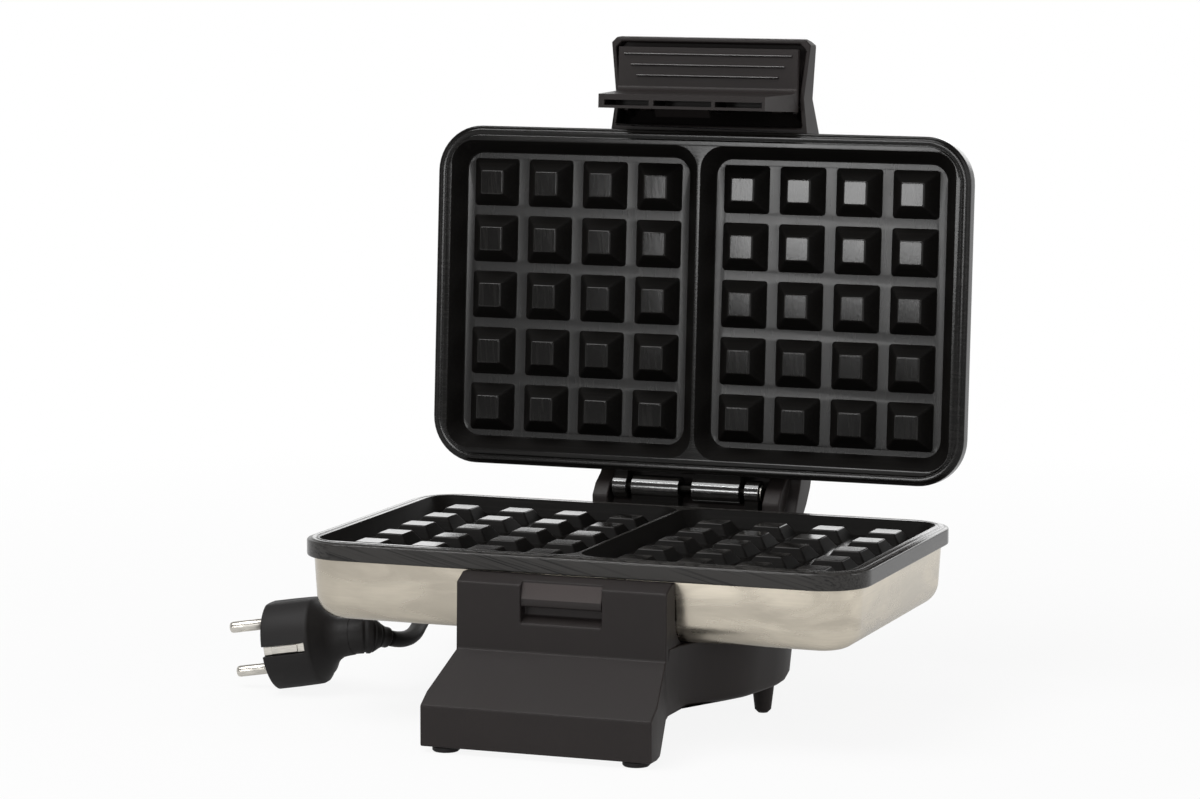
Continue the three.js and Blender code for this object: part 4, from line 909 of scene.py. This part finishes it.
class WAFFLE_OT_lead(bpy.types.Operator):
    """Mains lead with its coil, tie, plug and gland"""

    bl_idname = "waffle.lead"
    bl_label = "Mains lead and plug"

    def execute(self, context):
        plug = self.add_plug()
        pins = [self.add_pin(side) for side in (1, -1)]
        contacts = [self.add_contact(side) for side in (1, -1)]
        tie = refined("cord_tie", "coil_tie", plastic(), 0.0002, 2)
        points = [*PLUG_ROUTE, *coil_points(), *GLAND_ROUTE]
        path = [RIM + Vector(point) * MM for point in points]
        path = smooth_path(path, CORD_STEP)[::-1]
        radius = sizes().cord_diameter / 2 * CORD_FIT
        # Painted shade: the lead is a darker copy of the rubber, for the shade under the pan.
        look = moulded_material(
            "Lead sheath in painted shade", scaled(colours().rubber, 0.5), 0.5,
            grain=2600.0, strength=0.15, specular=0.15, edges=0.2,
        )
        lead = add_piece(
            "mains_lead", swept(path, radius, CORD_SIDES), look, "base",
            ("cord_at_gland", "cord_coil", "cord_at_plug"),
        )
        self.add_gland()
        return {"FINISHED"}

    def add_plug(self):
        """The plug lies along Y with its face at 0, until it is put in its place."""
        body, neck, flat = 0.0212, 0.0138, 0.0181
        sections = [
            (0.0, 0.0181), (0.0002, 0.01865), (0.0006, 0.01895), (0.0011, 0.01905),
            (0.0100, 0.01895), (0.0192, 0.0187), (0.0204, 0.0184), (body, 0.0176),
            (body + 0.0004, 0.0166), (body + neck * 0.19, 0.0146), (body + neck * 0.31, 0.0118),
            (body + neck * 0.44, 0.0098), (body + neck * 0.62, 0.0084),
            (body + neck * 0.8, 0.0081), (body + neck, 0.0079),
        ]
        bm = bmesh.new()
        capped(bm, [
            [
                bm.verts.new((x, -back, max(-flat, min(flat, z))))
                for x, z in circle((0, 0), radius, PLUG_SIDES)
            ]
            for back, radius in sections
        ])
        piece = add_piece("plug", bm, rubber(), "base", ("plug_body",))
        for cutter in (
            *map(self.slot_cutter, (1, -1)), *map(self.hole_cutter, (1, -1)), *self.grip_cutters()
        ):
            cut_away(piece, cutter)
        piece.data.transform(PLUG_PLACE)
        add_bevel(piece, 0.0004, 3, 40)
        sleeve = add_piece("plug_sleeve", self.relief(), rubber(), "base", ())
        sleeve.data.transform(PLUG_PLACE)
        sleeve.parent = piece
        return piece

    def grip_cutters(self):
        """Shallow grooves along the plug's flat top and bottom."""
        bars = []
        aside, half, back, front = 0.0032, 0.0004, -0.0185, -0.003
        for side in (1, -1):
            low, high = sorted((side * 0.0177, side * 0.0190))
            for x in (-aside, aside):
                bars.append(box_body((x - half, back, low), (x + half, front, high)))
        return bars

    def relief(self):
        """The plug's neck: it bends towards the object and tapers to the lead."""
        start, bend, wide, narrow = -0.035, 0.013, 0.0077, 0.00445
        lap, groove = 0.0012, 0.0005
        path = [Vector((0, start + lap, 0))]
        radii = [wide]
        steps = 48
        turn, droop = math.radians(65), math.radians(24)
        for k in range(steps + 1):
            share = k / steps
            angle = turn * share
            aside = bend * (1 - math.cos(angle))
            path.append(Vector((
                aside * math.cos(droop), start - bend * math.sin(angle), -aside * math.sin(droop)
            )))
            radius = wide + (narrow - wide) * eased((share - 0.45) / 0.45)
            if any(low < share < high for low, high in SLEEVE_GROOVES):
                radius -= groove
            radii.append(radius)
        return swept(path, radii, 32)

    def slot_cutter(self, side):
        low, high = sorted((side * 0.0152, side * 0.0215))
        return box_body((low, -0.01908, -0.0022), (high, 0.002, 0.0022))

    def hole_cutter(self, side):
        bm = turned([(sizes().pin_diameter / 2 + 0.0003, z) for z in (-0.002, 0.004)], 24)
        turn = Matrix.Rotation(math.radians(90), 4, "X")
        return moved(bm, Matrix.Translation((0, 0, side * PIN_ASIDE)) @ turn)

    def add_pin(self, side):
        radius = sizes().pin_diameter / 2
        profile = [
            (radius, -0.0037), (radius, 0.0172), (radius * 0.98, 0.0179), (radius * 0.9, 0.0185),
            (radius * 0.74, 0.0188), (radius * 0.4, 0.01895), (radius * 0.05, 0.019),
        ]
        bm = moved(turned(profile, 28), Matrix.Rotation(math.radians(-90), 4, "X"))
        moved(bm, PLUG_PLACE @ Matrix.Translation((0, 0, side * PIN_ASIDE)))
        label = "upper" if side > 0 else "lower"
        return add_piece(f"{label}_pin", bm, nickel(), "base", (f"plug_pin_{label}",))

    def add_contact(self, side):
        """An earth contact: a strip with a raised crown."""
        label = "near" if side > 0 else "far"
        root, thick, rise = side * 0.0155, side * 0.001, side * 0.0006
        low, high = sorted((root, root + thick))
        strip = box_body((low, -0.0187, -0.0019), (high, -0.0003, 0.0019))
        crown = box_body((low + rise, -0.0155, -0.0016), (high + rise, -0.004, 0.0016))
        bm = moved(joined(strip, crown), PLUG_PLACE)
        return add_piece(
            f"earth_contact_{label}", bm, nickel(), "base", (f"plug_earth_{label}",),
            0.0003, 3,
        )

    def add_gland(self):
        """The gland at the stand's tail: a tapered sleeve with open ribs."""
        place = Matrix.Translation(RIM + Vector(GLAND_PLACE) * MM)
        profile = [(0.0035, -0.0089), (0.0076, -0.0089), (0.0076, -0.0073), (0.006, -0.0073)]
        profile += [(0.006, 0.0028)]
        wide, narrow, start, end, steps = 0.0055, 0.0043, 0.0034, 0.0236, 18
        for k in range(steps + 1):
            share = k / steps
            groove = 0.0006 if k % 2 else 0.0
            radius = wide + (narrow - wide) * share
            profile.append((radius - groove, start + (end - start) * share))
        profile += [(0.0042, 0.024), (0.0036, 0.024)]
        bm = moved(turned(profile, 28), place @ Matrix.Rotation(math.radians(-90), 4, "X"))
        add_piece("gland_sleeve", bm, rubber(), "base", ("cord_gland",))


class WAFFLE_OT_plates(bpy.types.Operator):
    """The two waffle plates with their hinge knuckles"""

    bl_idname = "waffle.plates"
    bl_label = "Waffle plates"

    def execute(self, context):
        size = sizes()
        walls = coating_material(
            "Coated walls", 0.55, (0.05, 0.0008, 0.0008), (0, 0, 0), 0.05, specular=0.04, rub=0.2
        )
        lower_look = self.looks("Lower", (0.05, 0.0008, 0.0008), (
            ("coating", 0.2, (0, 16, 24), 0.12, {"specular": 0.2}),
            ("nub tops", 0.17, (0, 16, 24), 0.2, {"specular": 0.12}),
            ("rim", 0.2, (0, 14, 0), 0.5, {"low": 0.3, "rub": 0.12}),
        ), walls)
        upper_look = self.looks("Upper", (0.05, 0.0012, 0.0012), (
            ("coating", 0.24, (0, 90, 0), 0.12, {}),
            ("nub tops", 0.12, (0, 84, 0), 0.12, {"specular": 0.21}),
            ("rim", 0.17, (0, 0, 0), 0.12, {"specular": 0.18, "rub": 0.3}),
        ), walls)
        glossy = coating_material(
            "Glossy knuckles", 0.16, (0.02, 0.001, 0.001), (0, 0, 0), 0.15, specular=1.0
        )
        lower = self.plate(size.lower_nub_top, size.lower_nub_drop)
        upper = self.plate(size.upper_nub_top, 0.0)
        moved(upper, Matrix.Translation((0, 0, PLATE_GAP)) @ Matrix.Rotation(math.pi, 4, "X"))
        looks = (glossy, walls)
        barrels = (self.knuckles(True), self.knuckles(False))
        for name, bm, look, replaced, bevel in (
            ("waffle_plate", (lower, upper), (lower_look, upper_look), True, 0.0),
            ("knuckles", barrels, (looks, looks), False, 0.0005),
        ):
            for k, (side, body) in enumerate((("lower", "base"), ("upper", "lid"))):
                nodes = (f"{side}_plate",) if replaced else ()
                add_piece(
                    f"{side}_{name}", to_rim(bm[k], k == 1), look[k], body, nodes, bevel
                )
        return {"FINISHED"}

    def looks(self, side, streak, rows, walls):
        """One material for each material index of a plate: field, nub tops, rim and walls."""
        return (*(
            coating_material(f"{side} {name}", roughness, streak, turn, lines, **settings)
            for name, roughness, turn, lines, settings in rows
        ), walls)

    def field_middle(self, side):
        size = sizes()
        return side * (size.plate_width / 2 - size.rim_width + size.divider / 2) / 2

    def field_outline(self, side, inset, steps=8):
        size = sizes()
        half_x = (size.plate_width / 2 - size.rim_width - size.divider / 2) / 2 - inset
        half_y = size.plate_depth / 2 - size.rim_width - inset
        return rounded(half_x, half_y, 0.01 - inset / 2, steps, self.field_middle(side))

    def plate(self, nub_top, nub_drop):
        """One plate with its rim up at Z = 0: stepped rim, two fields and their nubs."""
        size = sizes()
        bm = bmesh.new()
        height, depth = size.rim_height, size.field_depth
        under = [
            (0.0085, -depth - 0.0037), (0.008, -depth - 0.0033), (0.008, -height),
            (0.0005, -height), (0.0001, -height + 0.0003), (0.0, -height + 0.0008),
            (0.0, -0.0013), (0.00008, -0.0009), (0.0004, -0.00055), (0.0009, -0.00045),
            (0.0014, -0.0004), (0.0017, -0.0001), (0.0021, 0.0), (0.0034, -0.00006),
            (0.0036, -0.00028), (0.0039, -0.0003), (0.0041, -0.0001), (0.0044, 0.0),
        ]
        rings = plate_rings(bm, under)
        skin(bm, rings, 2)
        bm.faces.new(rings[0][::-1])
        wall = [
            (-0.0002, 0.0), (0.0, -0.00006), (0.00018, -0.00022), (0.0003, -0.00042),
            (0.0046, -depth + 0.00045), (0.00492, -depth + 0.00018), (0.0053, -depth),
        ]
        mouths = []
        for side in (-1, 1):
            steps = [ring_of(bm, self.field_outline(side, inset), z) for inset, z in wall]
            skin(bm, steps, 3)
            mouths.append(steps[0])
            feet = []
            for column in range(size.nub_columns):
                for row in range(size.nub_rows):
                    across = (column - (size.nub_columns - 1) / 2) * size.nub_pitch_x
                    y = (row - (size.nub_rows - 1) / 2) * size.nub_pitch_y
                    x = self.field_middle(side) + across
                    feet.append(self.nub(bm, x, y, nub_top / 2, nub_drop))
            fill(bm, steps[-1], *feet)
        fill(bm, rings[-1], *mouths, kind=2)
        return bm

    def nub(self, bm, x, y, half_top, drop):
        """A four-sided stub with rounded edges; returns the loop at its foot."""
        size = sizes()
        depth = size.field_depth
        half_foot = half_top + size.wall_run / depth * (depth - drop)
        profile = [
            (half_foot + 0.00035, -depth), (half_foot + 0.0001, -depth + 0.00008),
            (half_foot - 0.00012, -depth + 0.0003), (half_top + 0.00032, -drop - 0.00042),
            (half_top + 0.00012, -drop - 0.00017), (half_top - 0.0001, -drop - 0.00004),
            (half_top - 0.00035, -drop),
        ]
        rings = []
        for half, z in profile:
            share = (z + depth) / (depth - drop)
            radius = NUB_CORNERS[0] + (NUB_CORNERS[1] - NUB_CORNERS[0]) * share
            rings.append(ring_of(bm, rounded(half, half, radius, 3, x, y), z))
        skin(bm, rings[:4], 3)
        skin(bm, rings[3:], 1)
        bm.faces.new(rings[-1]).material_index = 1
        return rings[0]

    def knuckles(self, lower):
        """Barrels and webs of one plate, pushed along the hinge with a bore for the pin."""
        axis, radius, bore_radius, web = (0.08035, 0.00602), 0.0052, 0.0027, 0.0694
        if lower:
            barrel = arc(axis, radius, -28, 218, 26)
            outline = [
                (web, -0.00645), (0.0797, -0.0036), *barrel, (0.076, -0.0008), (web, -0.0008)
            ]
            spans = [(-LONG_KNUCKLE[1], -LONG_KNUCKLE[0]), SHORT_KNUCKLE]
        else:
            barrel = arc(axis, radius, -152, 102, 26)
            outline = [(web, 0.0036), (0.0758, 0.0036), *barrel, (web, 0.00745)]
            spans = [LONG_KNUCKLE, (-SHORT_KNUCKLE[1], -SHORT_KNUCKLE[0])]
        bore = circle(axis, bore_radius, 20)
        whole = joined(*[
            pushed(outline, KNUCKLE_MIDDLE + low, KNUCKLE_MIDDLE + high, [bore])
            for low, high in spans
        ])
        for face in whole.faces:
            away = [math.hypot(v.co.y - axis[0], v.co.z - axis[1]) for v in face.verts]
            face.material_index = 1 if sum(away) / len(away) > radius + 0.0004 else 0
        return whole


class WAFFLE_OT_housings(bpy.types.Operator):
    """Pressed steel pan under the lower plate and shell over the upper one"""

    bl_idname = "waffle.housings"
    bl_label = "Steel housings"

    def execute(self, context):
        look = steel_material(colours().steel)
        add_piece("steel_pan", to_rim(self.pan()), look, "base", ("lower_housing",))
        add_piece("steel_shell", to_rim(self.shell(), True), look, "lid", ("lid_shell",))
        return {"FINISHED"}

    def pan(self):
        bend, wall = sizes().steel_bend, sizes().steel_wall
        top, floor, foot = -0.00755, -0.033, 0.004
        outer = [(foot - 0.001, top), (0.0036, floor + bend + 0.006), (foot, floor + bend)]
        inner = [(foot, top), (foot + wall, floor + bend)]
        steps = 10
        for k in range(1, steps + 1):
            angle = math.pi / 2 * k / steps
            inward, down = 1 - math.cos(angle), 1 - math.sin(angle)
            small = bend - wall
            outer.append((foot + bend * inward, floor + bend * down))
            inner.append((foot + wall + small * inward, floor + wall + small * down))
        return self.sheet(outer, inner)

    def shell(self):
        shares = [(0, 0), (0.15, 0.036), (0.49, 0.16), (0.76, 0.33), (0.93, 0.62), (1, 1)]
        bottom, rise, run, wall = 0.00855, 0.0235, 0.033, sizes().steel_wall
        places = [Vector((0.003 + inward * run, bottom + up * rise, 0)) for up, inward in shares]
        outer = [(p.x, p.y) for p in smooth_path(places, 0.0018)]
        inner = [(x + wall, y - (wall if k else 0)) for k, (x, y) in enumerate(outer)]
        return self.sheet(outer, inner)

    def sheet(self, outer, inner):
        """A closed body between two skins of (inset, z) pairs, joined at their first ones."""
        bm = bmesh.new()
        skins = [plate_rings(bm, places) for places in (outer, inner)]
        for rings in skins:
            skin(bm, rings)
            bm.faces.new(rings[-1])
        skin(bm, [skins[0][0], skins[1][0]])
        return bm


class WAFFLE_OT_stand(bpy.types.Operator):
    """Moulded stand, its bottom cover, screws, feet and legs"""

    bl_idname = "waffle.stand"
    bl_label = "Stand and feet"

    def execute(self, context):
        edge = sizes().edge_radius
        stand = refined("base_stand", "stand_moulding", plastic(), edge, 3, 28)
        self.paint_catch_light(stand)
        refined("bottom_cover", "stand_bottom", plastic(), 0.0003, 2)
        for k in (1, 2, 3, 4):
            self.add_screw(f"bottom_cover_screw_{k}")
        for end in ("front", "rear"):
            for side in ("left", "right"):
                name = f"{end}_foot_{side}"
                refined(name, f"{name}_pad", rubber(), 0.0004, 3, 50)
        for side in ("left", "right"):
            name = f"middle_leg_{side}"
            refined(name, f"{name}_moulding", plastic(), 0.0005, 3, 50)
        return {"FINISHED"}

    def paint_catch_light(self, stand):
        """The slope that the latch's tooth slides down, made paler than the rest with painted
        light.
        """
        # Painted light: a paler copy of the black moulding on the slope that catches the light.
        stand.data.materials.append(moulded_material(
            "Painted light moulding", scaled(colours().plastic, 2.7), 0.42, specular=0.25, edges=0.4
        ))
        half, low, high, steep, slack = 0.021, -0.0175, -0.01, -0.97, -0.9
        for face in stand.data.polygons:
            x, _, z = face.center - RIM
            if abs(x) < half and low < z < high and steep < face.normal.y < slack:
                face.material_index = 1

    def add_screw(self, name):
        """A cross-head screw in place of a node."""
        low, high = (Vector(corner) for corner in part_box(name))
        x, y = (low.x + high.x) / 2, (low.y + high.y) / 2
        radius = (high.x - low.x) / 2
        shank = 0.0016
        rises = ((0.0002, 0.00002), (radius * 0.5, 0.0001), (radius * 0.85, 0.00045))
        rises += ((radius, 0.0008), (radius, 0.0014), (shank, 0.0014))
        head = [(across, low.z + rise) for across, rise in rises] + [(shank, high.z)]
        bm = moved(turned(head, 24), Matrix.Translation((x, y, 0)))
        piece = add_piece(f"{name}_cross", bm, nickel(), "base", (name,))
        reach, half_slot, under, top = radius * 0.6, 0.0003, low.z - 0.001, low.z + 0.0009
        for half_x, half_y in ((reach, half_slot), (half_slot, reach)):
            cut_away(piece, box_body(
                (x - half_x, y - half_y, under), (x + half_x, y + half_y, top)
            ))
        even_shading(piece)


class WAFFLE_OT_lid_band(bpy.types.Operator):
    """Black band over the lid with its handle, hood and lamps"""

    bl_idname = "waffle.lid_band"
    bl_label = "Lid band and lamps"

    def execute(self, context):
        band = refined("lid_band", "band_moulding", plastic(), 0.0008, 3, 28)
        self.paint_cavity_shade(band)
        for label, base, slot in (
            ("power", colours().power_lens, "red"), ("ready", colours().ready_lens, "green")
        ):
            name = f"{label}_lamp_lens"
            look = self.lens_material(f"{label.title()} lens", base)
            refined(name, f"{name}_clear", look, 0.0002, 2, 40)
        return {"FINISHED"}

    def paint_cavity_shade(self, band):
        """Painted shade on the walls inside the handle, round the hook: they take a darker
        moulding.
        """
        # Painted shade: the darker moulding goes on the walls where shade falls inside the handle.
        band.data.materials.append(painted_shade_moulding())
        to_closed = (OPENED @ Matrix.Translation(RIM)).inverted()
        half, side, front, back, top, lip = 0.041, 0.0431, -0.1, -0.076, 0.034, 0.014
        for face in band.data.polygons:
            x, y, z = to_closed @ face.center
            facing = (to_closed.to_3x3() @ face.normal).z
            across = abs(x) < half or (abs(x) < side and face.normal.x * x < 0)
            if across and front < y < back and z < top and (facing > -0.7 or z > lip):
                face.material_index = 1

    def lens_material(self, name, base):
        material, tree, shader = new_material(
            name, IOR=1.49, Transmission_Weight=0.35, Coat_Weight=0.5
        )
        stipple = placed_group(
            tree, "Moulded grain", Grain_size=500.0, Gloss_change=0.06, Roughness=0.14
        )
        feed(tree, shader, {
            "Base Color": mix_colours(tree, stipple["Tone"], scaled(base, 0.8), scaled(base, 1.2)),
            "Roughness": stipple["Roughness"],
        })
        return material


class WAFFLE_OT_latch(bpy.types.Operator):
    """Latch lever in the handle, with its pin and spring"""

    bl_idname = "waffle.latch"
    bl_label = "Latch"

    def execute(self, context):
        shiny = moulded_material(
            "Polished moulding", colours().plastic, 0.22, strength=0.1, specular=0.6
        )
        lever = add_piece(
            "latch_moulding", to_rim(self.lever(), True), (plastic(), shiny, painted_shade_moulding()),
            "latch", ("latch_lever",),
        )
        for low, high in ((-0.0345, -0.0145), (-0.0124, 0.0134), (0.015, 0.0358)):
            cut_away(lever, to_rim(box_body((low, -0.0858, -0.026), (high, -0.0835, -0.009)), True))
        add_bodies(lever, to_rim(joined(*self.details()), True))
        add_bevel(lever, 0.00025, 3, 28)
        refined("latch_pin", "latch_pin_turned", nickel(), 0.0003, 2, 50)
        finish_node("latch_spring", nickel())
        return {"FINISHED"}

    def lever(self):
        """Grip plate and hook, with a hollow bend between them, as in the closed lid."""
        tip, root, end, face, back, neck = -0.1088, -0.0823, -0.024, 0.009, 0.0114, -0.015
        middle, reach, drop, steps = (-0.0923, 0.002), 0.0027, 0.007, 20
        bend = [
            (middle[0] + reach * math.sin(a), middle[1] + drop * math.cos(a))
            for a in (math.pi / 2 * k / steps for k in range(steps + 1))
        ]
        outline = [(tip, face), *bend, (-0.0882, end), (root, end), (root, back), (tip, back)]
        bm = pushed(outline, -1, 1)
        for level in (neck, face):
            parts = [*bm.verts, *bm.edges, *bm.faces]
            bmesh.ops.bisect_plane(bm, geom=parts, plane_co=(0, 0, level), plane_no=(0, 0, 1))
        narrow, wide = 0.0371, 0.0404
        for vert in bm.verts:
            share = min(max((vert.co.z - neck) / (face - neck), 0.0), 1.0)
            vert.co.x *= narrow + (wide - narrow) * share
        make_whole(bm, 1)
        return bm

    def details(self):
        """Grip ribs, the tooth that catches the stand's bar, and the two knuckles."""
        parts = []
        foot, rise, half_rib = 0.0092, 0.001, 0.00055
        arch = [math.radians(15 * k) for k in range(13)]
        for y, half in ((-0.10585, 0.0378), (-0.10126, 0.0347), (-0.09666, 0.0319)):
            rib = [(y - half_rib * math.cos(a), foot - rise * math.sin(a)) for a in arch]
            parts.append(pushed(rib, -half, half, kind=1))
        tooth = [
            (-0.0829, -0.0203), (-0.079, -0.0203), (-0.079, -0.0214), (-0.0823, -0.0237),
            (-0.0829, -0.0237),
        ]
        # Painted shade: the tooth takes the darker moulding.
        parts.append(pushed(tooth, -0.012, 0.012, kind=2))
        axis, radius, bore_radius, thick, root = (-0.0845, 0.017), 0.0032, 0.0018, 0.005, 0.0102
        outline = [(-0.0823, root), *arc(axis, radius, -46.6, 216.9, 24), (-0.08706, root)]
        bore = circle(axis, bore_radius, 20)
        for x in (-0.03, 0.03):
            parts.append(pushed(outline, x - thick / 2, x + thick / 2, [bore]))
        return parts


class WAFFLE_OT_hinge(bpy.types.Operator):
    """Hinge pin and its clip"""

    bl_idname = "waffle.hinge"
    bl_label = "Hinge pin"

    def execute(self, context):
        # Painted shade: the pin is near black, as the shade in the gaps between the barrels.
        pin_painted_shade = metal_material("Painted shade pin steel", colours().pin_painted_shade, 0.42, (0.002, 0.03, 0.03))
        refined("hinge_pin", "hinge_pin_turned", pin_painted_shade, 0.0004, 3, 50)
        refined("hinge_pin_clip", "hinge_clip", nickel(), 0.0001, 2, 50)
        return {"FINISHED"}


class WAFFLE_OT_heating(bpy.types.Operator):
    """Elements, reflectors, thermostat, fuse and terminal block"""

    bl_idname = "waffle.heating"
    bl_label = "Heating parts"

    def execute(self, context):
        tube = metal_material("Heated tube", colours().element, 0.42, (0.0033, 0.0033, 0.0033))
        foil = metal_material("Rolled sheet", colours().foil, 0.3, (0.0014, 0.08, 0.08))
        ceramic = moulded_material(
            "White ceramic", colours().ceramic, 0.5, grain=900.0, edges=0.0
        )
        for side in ("lower", "upper"):
            finish_node(f"{side}_heating_element", tube)
            finish_node(f"{side}_reflector", foil)
        for name in ("thermostat", "thermal_fuse", "terminal_block"):
            finish_node(name, ceramic)
        return {"FINISHED"}


class WAFFLE_PT_panel(bpy.types.Panel):
    """Lists the waffle maker's pieces"""

    bl_idname = "WAFFLE_PT_panel"
    bl_label = "Waffle Maker"
    bl_space_type = "VIEW_3D"
    bl_region_type = "UI"
    bl_category = "Waffle Maker"

    def draw(self, context):
        for operator in OPERATORS:
            self.layout.operator(operator.bl_idname)
        for group in (context.scene.waffle_sizes, context.scene.waffle_colours):
            column = self.layout.column()
            for name in group.__annotations__:
                column.prop(group, name)


OPERATORS = (
    WAFFLE_OT_stage,
    WAFFLE_OT_lead,
    WAFFLE_OT_plates,
    WAFFLE_OT_housings,
    WAFFLE_OT_stand,
    WAFFLE_OT_lid_band,
    WAFFLE_OT_latch,
    WAFFLE_OT_hinge,
    WAFFLE_OT_heating,
)
CLASSES = (WaffleMakerSizes, WaffleMakerColours, *OPERATORS, WAFFLE_PT_panel)


def register():
    for item in CLASSES:
        bpy.utils.register_class(item)
    bpy.types.Scene.waffle_sizes = PointerProperty(type=WaffleMakerSizes)
    bpy.types.Scene.waffle_colours = PointerProperty(type=WaffleMakerColours)


def unregister():
    del bpy.types.Scene.waffle_colours
    del bpy.types.Scene.waffle_sizes
    for item in reversed(CLASSES):
        bpy.utils.unregister_class(item)


def main():
    register()
    for operator in OPERATORS:
        group, name = operator.bl_idname.split(".")
        getattr(getattr(bpy.ops, group), name)()


if __name__ == "__main__":
    main()
